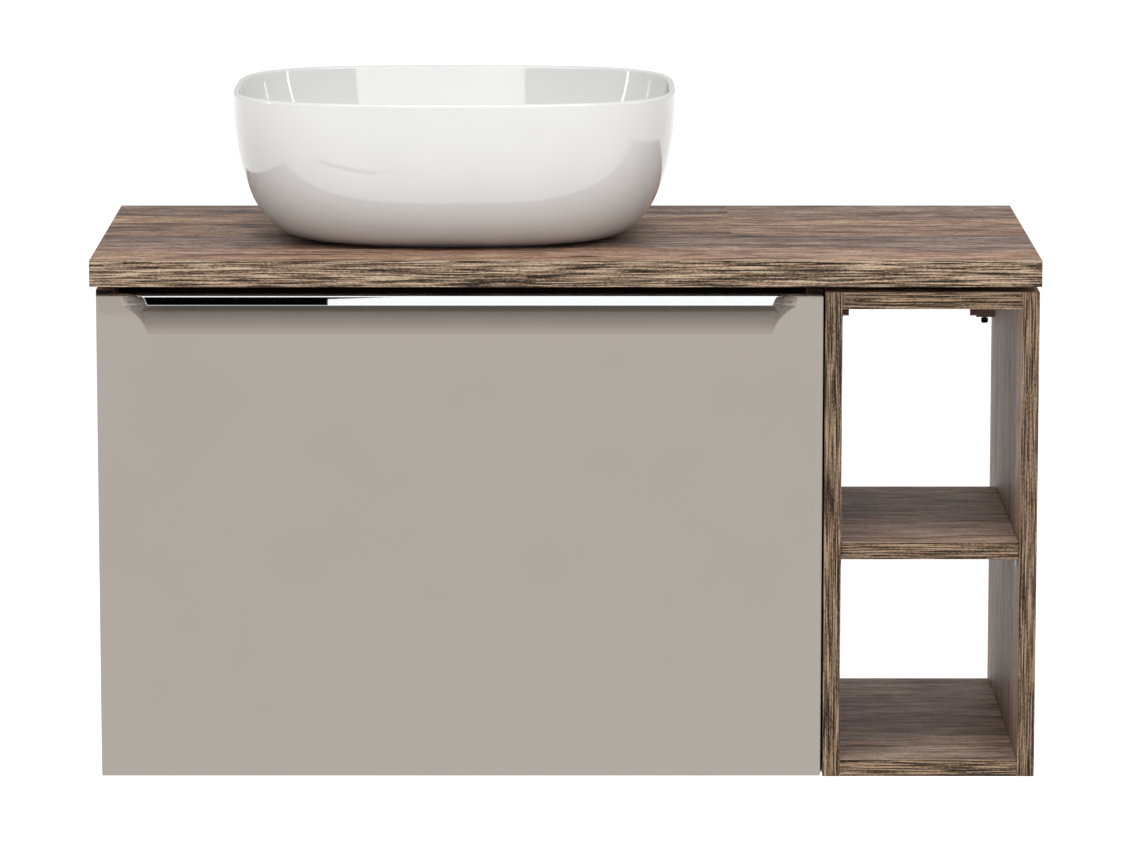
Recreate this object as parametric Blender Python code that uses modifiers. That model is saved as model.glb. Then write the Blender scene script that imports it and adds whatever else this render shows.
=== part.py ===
"""Wall-hung vanity: a one-drawer unit and an open shelf unit side by side under one worktop,
with a vessel basin, its click-clack waste and a bottle trap.

Metres, +Z up. X runs along the wall, the wall is the plane y = 0 and the front faces -Y.
The origin is the middle of the wall rail's back face, from which both units hang.
"""
import math

import bmesh
import bpy
from mathutils import Matrix, Vector

# ---------------------------------------------------------------- clearances
TOUCH = 0.0003             # gap kept between two pieces that bear on each other
RUN = 0.0005               # gap kept between two pieces that slide or turn

# ---------------------------------------------------------------- driving dimensions
DRAWER_UNIT_WIDTH = 0.7675
SHELF_UNIT_WIDTH = 0.225
UNIT_GAP = 0.0005          # joint between the two carcasses
CARCASS_HEIGHT = 0.520
BOARD = 0.018              # carcass board
DRAWER_BOARD = 0.016       # drawer box board
WALL_STANDOFF = 0.008      # room for the wall rail behind the carcasses
CARCASS_TOP = 0.065        # carcass top above the wall rail's middle

WORKTOP_DEPTH = 0.460
WORKTOP_THICK = 0.028
EDGING_THICK = 0.0015
LEFT_OVERHANG = 0.005
RIGHT_OVERHANG = 0.002
SPACER_HEIGHT = 0.006      # the worktop stands this far above the carcasses
SPACER_WIDTH = 0.016
SPACER_INSET = 0.001
SPACER_END_GAP = 0.025     # from the spacer's ends to the carcass edges

FRONT_SETBACK = 0.003      # front faces behind the worktop's front
FRONT_THICK = 0.019
FRONT_REVEAL = 0.0015      # between the drawer front and the carcass
FRONT_SIDE_GAP = 0.00175
FRONT_TOP_GAP = 0.004
FRONT_BOTTOM_GAP = 0.0005

STRIP_MARGIN = 0.0493      # drawer front's side edge to the end of the chrome strip
STRIP_HEIGHT = 0.010
STRIP_THICK = 0.0016
STRIP_FLANGE = 0.0165      # how far the strip's top reaches back
STRIP_END_SLOPE = 0.0043   # each end is this much shorter at its lower edge
STRIP_FLARE = 0.018        # each end of the flange is this much longer at the back
COVE_HEIGHT = 0.031        # hand recess below the strip
COVE_DEPTH = 0.0125
COVE_ENTRY = math.radians(5)
COVE_END_STRETCH = 2.2     # the recess runs out sideways over this many times its depth
COVE_START = 0.05          # share of the arc left out where it is too shallow to cut
COVE_STEPS = 9
COVE_END_STEPS = 8

MIDDLE_SHELF_DROP = 0.268  # carcass top to the shelf's upper face
MIDDLE_SHELF_DEPTH = 0.345
MIDDLE_SHELF_SETBACK = 0.004
SHELF_UNIT_BACK_INSET = 0.025

RAIL_BOARD_HEIGHT = 0.080  # cross rails of the drawer unit
FRONT_RAIL_HEIGHT = 0.070
FRONT_RAIL_SETBACK = 0.080
UPPER_BACK_RAIL_DROP = 0.100

BASIN_WIDTH = 0.478
BASIN_DEPTH = 0.405
BASIN_HEIGHT = 0.158
BASIN_WALL = 0.007
BASIN_BACK_GAP = 0.010     # rim to wall
BASIN_OFFSET = -0.0088     # from the drawer unit's middle
BASIN_SQUARENESS = 3.4     # exponent of the rim's superellipse
TUCK_SIDE = 0.076          # how far the foot lies inside the rim, at the sides
TUCK_FRONT = 0.060         # and at the front and back
BASIN_ROUND = 2.2          # exponent of the outer wall's curve
BASIN_FLOOR = 0.024        # floor at the drain, above the foot
FLOOR_SLOPE = 0.010        # rise of the floor from the drain to the wall
INNER_TUCK = 0.006         # the inside curls in this much more than the outside
FOOT_RING = 0.012
FOOT_RECESS = 0.008
FOOT_SLOPE = 0.004         # the recess narrows this much on its way up
SEAL_THICK = 0.0009
SEAL_INSET = 0.002

WASTE_RADIUS = 0.0215
WASTE_WALL = 0.0025
WASTE_FLANGE_LAP = 0.0115  # flange beyond the waste's body
WASTE_FLANGE_THICK = 0.0022
WASTE_TAIL = 0.045         # below the worktop
DRAIN_CLEARANCE = 0.0013   # waste in its hole
SEAT_CLEARANCE = 0.0015    # flange in its seat, and cap inside the flange
SEAT_DEPTH = 0.003
CAP_TRAVEL = 0.008
CAP_HEIGHT = 0.006
STEM_RADIUS = 0.0045
STEM_LENGTH = 0.038
GUIDE_DROP = 0.012         # flange's top to the bar that guides the stem
GUIDE_HEIGHT = 0.008
GUIDE_HALF_WIDTH = 0.008
GASKET = 0.001
WASHER_LAP = 0.0125
WASHER_THICK = 0.003
LOCKNUT_LAP = 0.0095
LOCKNUT_HEIGHT = 0.010

PIPE_RADIUS = 0.016
PIPE_WALL = 0.0015
TRAP_RADIUS = 0.030
TRAP_WALL = 0.0025
TRAP_OUTLET_DROP = 0.299   # worktop top to the outlet's axis
TRAP_SKIRT = 0.032         # outlet axis to the trap body's lower edge
TRAP_SHOULDER = 0.035      # outlet axis up to the body's shoulder
TRAP_DIP = 0.045           # outlet axis down to the end of the inlet tube
TRAP_CUP_DEPTH = 0.085     # outlet axis down to the cup's floor
TRAP_COLLAR_THICK = 0.002
CUP_RIM = 0.012            # how far the cup laps up over the body
CUP_WALL = 0.004
STUB_WALL = 0.0025
STUB_REACH = 0.028         # outlet stub beyond the trap's body
PIPE_OVERLAP = 0.020       # outlet pipe inside the stub
NUT_LAP = 0.005            # inlet nut beyond the waste
NUT_REACH = 0.012
OUTLET_NUT_LAP = 0.0085    # outlet nut beyond the pipe
OUTLET_NUT_REACH = 0.008   # outlet nut past the stub's end
ROSETTE_RADIUS = 0.040
ROSETTE_THICK = 0.006
ROSETTE_RIM = 0.002

WALL_RAIL_END_GAP = 0.015
WALL_RAIL_UP = 0.020
WALL_RAIL_DOWN = 0.016
WALL_RAIL_STEP = 0.004     # where the rail steps away from the wall
WALL_RAIL_REACH = 0.0065
SHEET = 0.002              # steel of the rail and the hooks

HANGER_WIDTH = 0.0195
HANGER_DEPTH = 0.036
HANGER_HEIGHT = 0.049
HANGER_DROP = 0.037        # carcass top to the hanger's top
HANGER_BACK = 0.012        # wall to the hanger's body
HOOK_WIDTH = 0.014
HOOK_PLAY = 0.0006         # hook to the wall rail's step
HOOK_ROOT = 0.003          # hook inside the hanger's body
BOSS_RADIUS = 0.005
BOSS_REACH = 0.007         # boss beyond the hanger's side
BOSS_INSET = 0.008         # hanger's front to the boss and to the screw
BOSS_LIFT = 0.0055
SCREW_RADIUS = 0.002
SCREW_LENGTH = 0.020
SCREW_HEAD_RADIUS = 0.004
SCREW_HEAD_HEIGHT = 0.0055
SCREW_SLOT_WIDTH = 0.0012
SCREW_SLOT_DEPTH = 0.002
SCREW_GAP = 0.002          # hanger's underside to the screw's head

RUNNER_HEIGHT = 0.028      # carcass bottom to the drawer's bottom panel
RUNNER_FRONT_GAP = 0.006
RUNNER_BACK_GAP = 0.022
RUNNER_WIDTH = 0.026
RUNNER_SIDE_GAP = 0.003    # drawer side to the runner
RUNNER_STEEL = 0.0015
RUNNER_LEG = 0.035
TRACK_HEIGHT = 0.010
TRACK_INSET = 0.002
MIDDLE_HEIGHT = 0.007
MIDDLE_INSET = 0.003
DRAWER_BACK_GAP = 0.008    # runner's end to the drawer's back
DRAWER_SIDE_GAP = 0.005
DRAWER_SIDE_HEIGHT = 0.180
DRAWER_SIDE_LIFT = 0.016   # carcass bottom to the drawer side's lower edge
NOTCH_HALF_WIDTH = 0.085
NOTCH_CLEARANCE = 0.035    # drawer's notch to the trap's cup
NOTCH_CORNER = 0.040
GUARD_THICK = 0.009
GUARD_HEIGHT = 0.130

CLIP_WIDTH = 0.040
CLIP_DEPTH = 0.060
CLIP_THICK = 0.010
CLIP_GAP = 0.002           # runner to clip
CLIP_PIVOT = 0.020         # clip's front to the lever's pin
LEVER_LENGTH = 0.042
LEVER_WIDTH = 0.011
LEVER_THICK = 0.005
LEVER_PIN_RADIUS = 0.0025

SUPPORT_PIN_RADIUS = 0.0025
SUPPORT_HOLE_DEPTH = 0.010
SUPPORT_PLATE = 0.012
SUPPORT_PLATE_THICK = 0.0015
SUPPORT_HALF_WIDTH = 0.004
SUPPORT_TAB = 0.007
SUPPORT_TAB_HALF = 0.0035
SUPPORT_TAB_THICK = 0.002
SUPPORT_PIN_DROP = 0.001   # plate's middle to the pin
SUPPORT_INSET = 0.030      # shelf's front and back edges to the supports

ROUND_STEPS = 32
NUT_STEPS = 24
SMALL_STEPS = 16
PAST = 0.01                # how far a cutter runs past what it cuts

# ---------------------------------------------------------------- derived places
CARCASS_WIDTH = DRAWER_UNIT_WIDTH + UNIT_GAP + SHELF_UNIT_WIDTH
WORKTOP_WIDTH = CARCASS_WIDTH + LEFT_OVERHANG + RIGHT_OVERHANG
LEFT = -WORKTOP_WIDTH / 2 + LEFT_OVERHANG
DRAWER_UNIT_RIGHT = LEFT + DRAWER_UNIT_WIDTH
SHELF_UNIT_LEFT = DRAWER_UNIT_RIGHT + UNIT_GAP
RIGHT = SHELF_UNIT_LEFT + SHELF_UNIT_WIDTH
DRAWER_INNER_LEFT = LEFT + BOARD
DRAWER_INNER_RIGHT = DRAWER_UNIT_RIGHT - BOARD
SHELF_INNER_LEFT = SHELF_UNIT_LEFT + BOARD
SHELF_INNER_RIGHT = RIGHT - BOARD

CARCASS_BOTTOM = CARCASS_TOP - CARCASS_HEIGHT
WORKTOP_UNDER = CARCASS_TOP + SPACER_HEIGHT
WORKTOP_TOP = WORKTOP_UNDER + WORKTOP_THICK
FACE_Y = -(WORKTOP_DEPTH - FRONT_SETBACK)
FRONT_BACK_Y = FACE_Y + FRONT_THICK
CARCASS_FRONT_Y = FRONT_BACK_Y + FRONT_REVEAL
CARCASS_BACK_Y = -WALL_STANDOFF

FRONT_LEFT = LEFT + FRONT_SIDE_GAP
FRONT_RIGHT = DRAWER_UNIT_RIGHT - FRONT_SIDE_GAP
FRONT_TOP = CARCASS_TOP - FRONT_TOP_GAP
FRONT_BOTTOM = CARCASS_BOTTOM + FRONT_BOTTOM_GAP
FRONT_MIDDLE = (FRONT_LEFT + FRONT_RIGHT) / 2
STRIP_HALF = (FRONT_RIGHT - FRONT_LEFT) / 2 - STRIP_MARGIN

DRAIN_RADIUS = WASTE_RADIUS + DRAIN_CLEARANCE
WASTE_BORE = WASTE_RADIUS - WASTE_WALL
WASTE_FLANGE_RADIUS = WASTE_RADIUS + WASTE_FLANGE_LAP
SEAT_RADIUS = WASTE_FLANGE_RADIUS + SEAT_CLEARANCE
CAP_RADIUS = WASTE_FLANGE_RADIUS - SEAT_CLEARANCE
COLLAR_RADIUS = WASTE_RADIUS - 0.0015
STUB_RADIUS = PIPE_RADIUS + STUB_WALL

BASIN_X = (LEFT + DRAWER_UNIT_RIGHT) / 2 + BASIN_OFFSET
BASIN_Y = -(BASIN_BACK_GAP + BASIN_DEPTH / 2)
BASIN_BASE = WORKTOP_TOP + SEAL_THICK + 2 * TOUCH
SEAT_Z = BASIN_BASE + BASIN_FLOOR - SEAT_DEPTH
FLANGE_UNDER = SEAT_Z + GASKET + 2 * TOUCH
TAIL_Z = WORKTOP_UNDER - WASTE_TAIL
OUTLET_Z = WORKTOP_TOP - TRAP_OUTLET_DROP
TRAP_BOTTOM = OUTLET_Z - TRAP_SKIRT
CUP_RADIUS = TRAP_RADIUS + RUN + CUP_WALL

FLOOR_Z = CARCASS_BOTTOM + BOARD               # carcass bottom panel's upper face
DRAWER_FRONT_Y = FRONT_BACK_Y + TOUCH
DRAWER_BACK_Y = CARCASS_BACK_Y - RUNNER_BACK_GAP - DRAWER_BACK_GAP
DRAWER_LEFT = DRAWER_INNER_LEFT + DRAWER_SIDE_GAP
DRAWER_RIGHT = DRAWER_INNER_RIGHT - DRAWER_SIDE_GAP
PANEL_UNDER = FLOOR_Z + RUNNER_HEIGHT + TOUCH  # drawer bottom panel
PANEL_TOP = PANEL_UNDER + DRAWER_BOARD
SIDE_UNDER = FLOOR_Z + DRAWER_SIDE_LIFT
SIDE_TOP = SIDE_UNDER + DRAWER_SIDE_HEIGHT
NOTCH_FRONT_Y = BASIN_Y - CUP_RADIUS - NOTCH_CLEARANCE
RUNNER_NEAR = DRAWER_SIDE_GAP + DRAWER_BOARD + RUNNER_SIDE_GAP  # from the carcass side's inner face
RUNNER_FAR = RUNNER_NEAR + RUNNER_WIDTH

# ---------------------------------------------------------------- scene and materials
for old in list(bpy.data.objects):
    bpy.data.objects.remove(old, do_unlink=True)


def new_collection(name):
    """A collection linked to the scene."""
    made = bpy.data.collections.new(name)
    bpy.context.scene.collection.children.link(made)
    return made


PIECES = new_collection("vanity_unit")
CUTTERS = new_collection("cutters")


def material(name, colour, roughness, metallic=0.0):
    """A Principled material of one colour."""
    made = bpy.data.materials.new(name)
    made.use_nodes = True
    shader = made.node_tree.nodes["Principled BSDF"]
    shader.inputs["Base Color"].default_value = (*colour, 1.0)
    shader.inputs["Roughness"].default_value = roughness
    shader.inputs["Metallic"].default_value = metallic
    return made


WORKTOP_DECOR = material("worktop_decor", (0.20, 0.14, 0.10), 0.55)
EDGE_DECOR = material("edge_decor", (0.16, 0.11, 0.07), 0.6)
CARCASS_DECOR = material("carcass_decor", (0.17, 0.12, 0.09), 0.6)
GLOSS_TAUPE = material("gloss_taupe", (0.40, 0.36, 0.31), 0.2)
CHROME = material("chrome", (0.85, 0.85, 0.86), 0.08, 1.0)
CERAMIC = material("ceramic", (0.82, 0.82, 0.82), 0.1)
SEALANT = material("sealant", (0.75, 0.75, 0.74), 0.5)
BLACK_RUBBER = material("black_rubber", (0.02, 0.02, 0.02), 0.7)
WHITE_PLASTIC = material("white_plastic", (0.80, 0.80, 0.79), 0.4)
BROWN_PLASTIC = material("brown_plastic", (0.24, 0.13, 0.09), 0.45)
ZINC_STEEL = material("zinc_steel", (0.60, 0.60, 0.58), 0.35, 1.0)
BLACK_STEEL = material("black_steel", (0.02, 0.02, 0.02), 0.4, 1.0)
DRAWER_GREY = material("drawer_grey", (0.35, 0.34, 0.32), 0.5)
ORANGE_PLASTIC = material("orange_plastic", (0.70, 0.22, 0.04), 0.45)


# ---------------------------------------------------------------- making solids
def place(name, mesh, finish, at=(0, 0, 0), turn=None, cutter=False):
    """Puts a mesh in the scene as a named piece, or as a cutter, which the model leaves out."""
    made = bpy.data.objects.new(name, mesh)
    made.location = at
    if turn is not None:
        made.rotation_euler = turn
    if cutter:
        CUTTERS.objects.link(made)
        made.hide_render = True
        made.display_type = 'WIRE'
    else:
        PIECES.objects.link(made)
        mesh.materials.append(finish)
    return made


def from_bmesh(shape, name):
    """Turns a bmesh into a mesh with its faces pointing out."""
    bmesh.ops.recalc_face_normals(shape, faces=shape.faces)
    mesh = bpy.data.meshes.new(name)
    shape.to_mesh(mesh)
    shape.free()
    return mesh


def box(name, low, high, finish=None, cutter=False):
    """A box between two corners, with its origin at its middle."""
    low, high = Vector(low), Vector(high)
    shape = bmesh.new()
    bmesh.ops.create_cube(shape, size=1.0)
    bmesh.ops.scale(shape, vec=high - low, verts=shape.verts)
    return place(name, from_bmesh(shape, name), finish, (low + high) / 2, cutter=cutter)


def board(name, x, y, z, finish=CARCASS_DECOR):
    """A board given by its (low, high) along each direction."""
    return box(name, (x[0], y[0], z[0]), (x[1], y[1], z[1]), finish)


def rod(name, start, end, radius, steps=SMALL_STEPS, finish=None, cutter=True):
    """A cylinder between two points."""
    start, end = Vector(start), Vector(end)
    shape = bmesh.new()
    bmesh.ops.create_cone(shape, cap_ends=True, segments=steps, radius1=radius, radius2=radius,
                          depth=(end - start).length)
    lean = (end - start).to_track_quat('Z', 'Y').to_euler()
    return place(name, from_bmesh(shape, name), finish, (start + end) / 2, lean, cutter)


def turned(name, profile, finish, at, turn=None, closed=True, steps=ROUND_STEPS):
    """A turned piece: (radius, height) points that run down the outer side."""
    shape = bmesh.new()
    points = [shape.verts.new((radius, 0, height)) for radius, height in profile]
    for first, second in zip(points, points[1:]):
        shape.edges.new((first, second))
    if closed:
        shape.edges.new((points[-1], points[0]))
    mesh = bpy.data.meshes.new(name)
    shape.to_mesh(mesh)
    shape.free()
    made = place(name, mesh, finish, at, turn)
    screw = made.modifiers.new("turn", 'SCREW')
    screw.steps = steps
    screw.render_steps = steps
    screw.use_merge_vertices = True
    screw.merge_threshold = 0.00001
    screw.use_smooth_shade = False
    return made


def prism(name, outline, low, high, finish=None, axis='Z', cutter=False):
    """A flat outline filled and given thickness from low to high along axis.

    The outline is in (X, Y) for Z and in (Y, Z) for X.
    """
    data = bpy.data.curves.new(name, 'CURVE')
    data.dimensions = '2D'
    data.fill_mode = 'BOTH'
    data.extrude = (high - low) / 2
    line = data.splines.new('POLY')
    line.points.add(len(outline) - 1)
    for point, (u, v) in zip(line.points, outline):
        point.co = (u, v, 0, 1)
    line.use_cyclic_u = True
    curve = bpy.data.objects.new(name + "_outline", data)
    PIECES.objects.link(curve)
    mesh = bpy.data.meshes.new_from_object(curve.evaluated_get(bpy.context.evaluated_depsgraph_get()))
    bpy.data.objects.remove(curve, do_unlink=True)
    shape = bmesh.new()
    shape.from_mesh(mesh)
    bmesh.ops.remove_doubles(shape, verts=shape.verts, dist=0.00001)
    if axis == 'X':
        swap = Matrix(((0, 0, 1), (1, 0, 0), (0, 1, 0)))
        bmesh.ops.rotate(shape, verts=shape.verts, matrix=swap)
        middle = ((low + high) / 2, 0, 0)
    else:
        middle = (0, 0, (low + high) / 2)
    bpy.data.meshes.remove(mesh)
    return place(name, from_bmesh(shape, name), finish, middle, cutter=cutter)


def loft(name, rings, finish=None, cutter=False, ends=True):
    """Skins a list of rings of equally many points; without ends, the last ring joins the first."""
    shape = bmesh.new()
    made = [[shape.verts.new(point) for point in ring] for ring in rings]
    pairs = list(zip(made, made[1:]))
    if not ends:
        pairs.append((made[-1], made[0]))
    count = len(rings[0])
    for lower, upper in pairs:
        for i in range(count):
            j = (i + 1) % count
            shape.faces.new((lower[i], lower[j], upper[j], upper[i]))
    if ends:
        shape.faces.new(made[0])
        shape.faces.new(made[-1])
    return place(name, from_bmesh(shape, name), finish, cutter=cutter)


def combine(target, other, operation='DIFFERENCE'):
    """Cuts another solid out of a piece, or joins it on."""
    change = target.modifiers.new(operation.lower(), 'BOOLEAN')
    change.operation = operation
    change.object = other
    return target


def join(target, other):
    """Joins a solid, kept with the cutters, onto a piece."""
    return combine(target, other, 'UNION')


def group(name, at, members):
    """An empty on a joint's axis, which carries the pieces that move with it."""
    holder = bpy.data.objects.new(name, None)
    holder.location = at
    PIECES.objects.link(holder)
    bpy.context.view_layer.update()
    for member in members:
        member.parent = holder
        member.matrix_parent_inverse = holder.matrix_world.inverted()


def across(inner, way, near, far):
    """(low, high) along X at two distances from a carcass side's inner face."""
    return tuple(sorted((inner + way * near, inner + way * far)))


def arc(cx, cy, radius, start, end, steps=6):
    """Points on an arc, with its angles in degrees."""
    turns = [math.radians(start + (end - start) * i / steps) for i in range(steps + 1)]
    return [(cx + radius * math.cos(t), cy + radius * math.sin(t)) for t in turns]


# ---------------------------------------------------------------- worktop
def make_worktop():
    """The worktop board with its drain hole, its front edging and the spacers under it."""
    half = WORKTOP_WIDTH / 2
    front = -WORKTOP_DEPTH
    top = board("worktop", (-half, half), (front + EDGING_THICK + TOUCH, 0),
                (WORKTOP_UNDER, WORKTOP_TOP), WORKTOP_DECOR)
    hole = rod("worktop_drain_cut", (BASIN_X, BASIN_Y, WORKTOP_UNDER - PAST),
               (BASIN_X, BASIN_Y, WORKTOP_TOP + PAST), DRAIN_RADIUS, ROUND_STEPS)
    combine(top, hole)
    board("worktop_front_edging", (-half, half), (front, front + EDGING_THICK),
          (WORKTOP_UNDER, WORKTOP_TOP), EDGE_DECOR)
    spacer_y = (CARCASS_FRONT_Y + SPACER_END_GAP, CARCASS_BACK_Y - SPACER_END_GAP)
    spacer_z = (CARCASS_TOP + TOUCH, WORKTOP_UNDER - TOUCH)
    middle = DRAWER_UNIT_RIGHT + UNIT_GAP / 2
    first, last = LEFT + SPACER_INSET, RIGHT - SPACER_INSET
    spans = {"left": (first, first + SPACER_WIDTH),
             "middle": (middle - SPACER_WIDTH, middle + SPACER_WIDTH),
             "right": (last - SPACER_WIDTH, last)}
    for side, span in spans.items():
        board("worktop_spacer_" + side, span, spacer_y, spacer_z)


# ---------------------------------------------------------------- basin
def superellipse(half_x, half_y, exponent, height, count=56):
    """A ring of points round the basin's middle."""
    ring = []
    for i in range(count):
        angle = 2 * math.pi * (i + 0.5) / count
        c, s = math.cos(angle), math.sin(angle)
        x = half_x * math.copysign(abs(c) ** (2 / exponent), c)
        y = half_y * math.copysign(abs(s) ** (2 / exponent), s)
        ring.append((BASIN_X + x, BASIN_Y + y, BASIN_BASE + height))
    return ring


def basin_ring(inset, curl, height, exponent=BASIN_SQUARENESS):
    """A level ring of the basin: an inset inside the rim, and a share of the way in to the foot."""
    return superellipse(BASIN_WIDTH / 2 - inset - curl * TUCK_SIDE,
                        BASIN_DEPTH / 2 - inset - curl * TUCK_FRONT, exponent, height)


def wall_stations(steps):
    """(drop, curl) down a wall that starts upright and rounds in: both go from 0 to 1."""
    stations = []
    for i in range(steps + 1):
        angle = math.pi / 2 * i / steps
        drop = math.sin(angle) ** (2 / BASIN_ROUND)
        stations.append((drop, 1 - (1 - drop ** BASIN_ROUND) ** (1 / BASIN_ROUND)))
    return stations


def outer_wall():
    """Rings up the outside, from the foot to below the rim."""
    top = BASIN_HEIGHT - BASIN_WALL / 2
    return [basin_ring(0, curl, top * (1 - drop), BASIN_SQUARENESS - 0.5 * curl)
            for drop, curl in reversed(wall_stations(13)[1:])]


def rim():
    """Rings over the rounded rim, from outside to inside."""
    radius = BASIN_WALL / 2
    rings = []
    steps = 6
    for i in range(steps + 1):
        angle = math.pi * i / steps
        rings.append(basin_ring(radius * (1 - math.cos(angle)), 0,
                                BASIN_HEIGHT - radius + radius * math.sin(angle)))
    return rings


def inner_wall():
    """Rings down the inside to the edge of the floor."""
    top = BASIN_HEIGHT - BASIN_WALL / 2
    fall = top - BASIN_FLOOR - FLOOR_SLOPE
    return [basin_ring(BASIN_WALL + INNER_TUCK * curl, curl, top - fall * drop, BASIN_SQUARENESS - 0.6 * curl)
            for drop, curl in wall_stations(11)[1:]]


def basin_floor():
    """Rings of the floor, which slopes to the drain, and the seat of the waste."""
    edge = BASIN_WALL + INNER_TUCK
    edge_x = BASIN_WIDTH / 2 - edge - TUCK_SIDE
    edge_y = BASIN_DEPTH / 2 - edge - TUCK_FRONT
    rings = []
    for share, exponent in ((0.66, 2.6), (0.33, 2.2)):
        half_x = SEAT_RADIUS + (edge_x - SEAT_RADIUS) * share
        half_y = SEAT_RADIUS + (edge_y - SEAT_RADIUS) * share
        rings.append(superellipse(half_x, half_y, exponent, BASIN_FLOOR + FLOOR_SLOPE * share ** 1.5))
    rings += [superellipse(SEAT_RADIUS, SEAT_RADIUS, 2, BASIN_FLOOR),
              superellipse(SEAT_RADIUS, SEAT_RADIUS, 2, BASIN_FLOOR - SEAT_DEPTH),
              superellipse(DRAIN_RADIUS, DRAIN_RADIUS, 2, BASIN_FLOOR - SEAT_DEPTH)]
    return rings


def make_basin():
    """The vessel basin, skinned from the drain hole out, over the rim and back, and its seal."""
    foot_squareness = BASIN_SQUARENESS - 0.5
    rings = [superellipse(DRAIN_RADIUS, DRAIN_RADIUS, 2, FOOT_RECESS),
             basin_ring(FOOT_RING + FOOT_SLOPE, 1, FOOT_RECESS, foot_squareness),
             basin_ring(FOOT_RING, 1, 0, foot_squareness)]
    rings += outer_wall() + rim() + inner_wall() + basin_floor()
    loft("basin", rings, CERAMIC, ends=False)
    low, high = -SEAL_THICK - TOUCH, -TOUCH
    seal = [basin_ring(inset, 1, height, foot_squareness)
            for inset, height in ((FOOT_RING - SEAL_INSET, high), (FOOT_RING - SEAL_INSET, low),
                                  (SEAL_INSET, low), (SEAL_INSET, high))]
    loft("basin_seal", seal, SEALANT, ends=False)


# ---------------------------------------------------------------- waste and trap
def ring_profile(outer, inner, low, high):
    """A plain ring's section, run down its outer side."""
    return [(outer, high), (outer, low), (inner, low), (inner, high)]


def make_waste():
    """The click-clack waste, clamped through basin and worktop."""
    axis = (BASIN_X, BASIN_Y, 0)
    top = FLANGE_UNDER + WASTE_FLANGE_THICK
    edge, mouth = 0.001, 0.003
    body = turned("waste_flange", [(WASTE_FLANGE_RADIUS - edge, top), (WASTE_FLANGE_RADIUS, top - edge),
                                   (WASTE_FLANGE_RADIUS, FLANGE_UNDER), (WASTE_RADIUS, FLANGE_UNDER),
                                   (WASTE_RADIUS, TAIL_Z), (WASTE_BORE, TAIL_Z),
                                   (WASTE_BORE, top - mouth), (WASTE_BORE + mouth, top)],
                  CHROME, axis)
    bar_top = top - GUIDE_DROP
    bar_half = WASTE_BORE + WASTE_WALL / 2
    bar = box("waste_guide_bar",
              (BASIN_X - bar_half, BASIN_Y - GUIDE_HALF_WIDTH, bar_top - GUIDE_HEIGHT),
              (BASIN_X + bar_half, BASIN_Y + GUIDE_HALF_WIDTH, bar_top), cutter=True)
    join(body, bar)
    bore = rod("waste_guide_cut", (BASIN_X, BASIN_Y, bar_top - GUIDE_HEIGHT - PAST),
               (BASIN_X, BASIN_Y, bar_top + PAST), STEM_RADIUS + RUN)
    combine(body, bore)
    inset = 0.001
    turned("waste_top_gasket", ring_profile(WASTE_FLANGE_RADIUS - 2 * inset, DRAIN_RADIUS + inset,
                                            SEAT_Z + TOUCH, SEAT_Z + TOUCH + GASKET),
           BLACK_RUBBER, axis)
    under = top + CAP_TRAVEL + RUN
    dome = [(CAP_RADIUS * radius, under + CAP_HEIGHT * height)
            for radius, height in ((0, 1), (0.6, 0.87), (0.92, 0.58), (1, 0.25), (1, 0))]
    stem_end = under - STEM_LENGTH
    turned("waste_cap", dome + [(STEM_RADIUS, under), (STEM_RADIUS, stem_end), (0, stem_end)],
           CHROME, axis, closed=False)
    washer_top = WORKTOP_UNDER - TOUCH
    washer_low = washer_top - WASHER_THICK
    turned("waste_washer", ring_profile(WASTE_RADIUS + WASHER_LAP, WASTE_RADIUS + RUN, washer_low, washer_top),
           BLACK_RUBBER, axis)
    nut_top = washer_low - TOUCH
    turned("waste_locknut", ring_profile(WASTE_RADIUS + LOCKNUT_LAP, WASTE_RADIUS + RUN,
                                         nut_top - LOCKNUT_HEIGHT, nut_top),
           ZINC_STEEL, axis, steps=NUT_STEPS)


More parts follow.
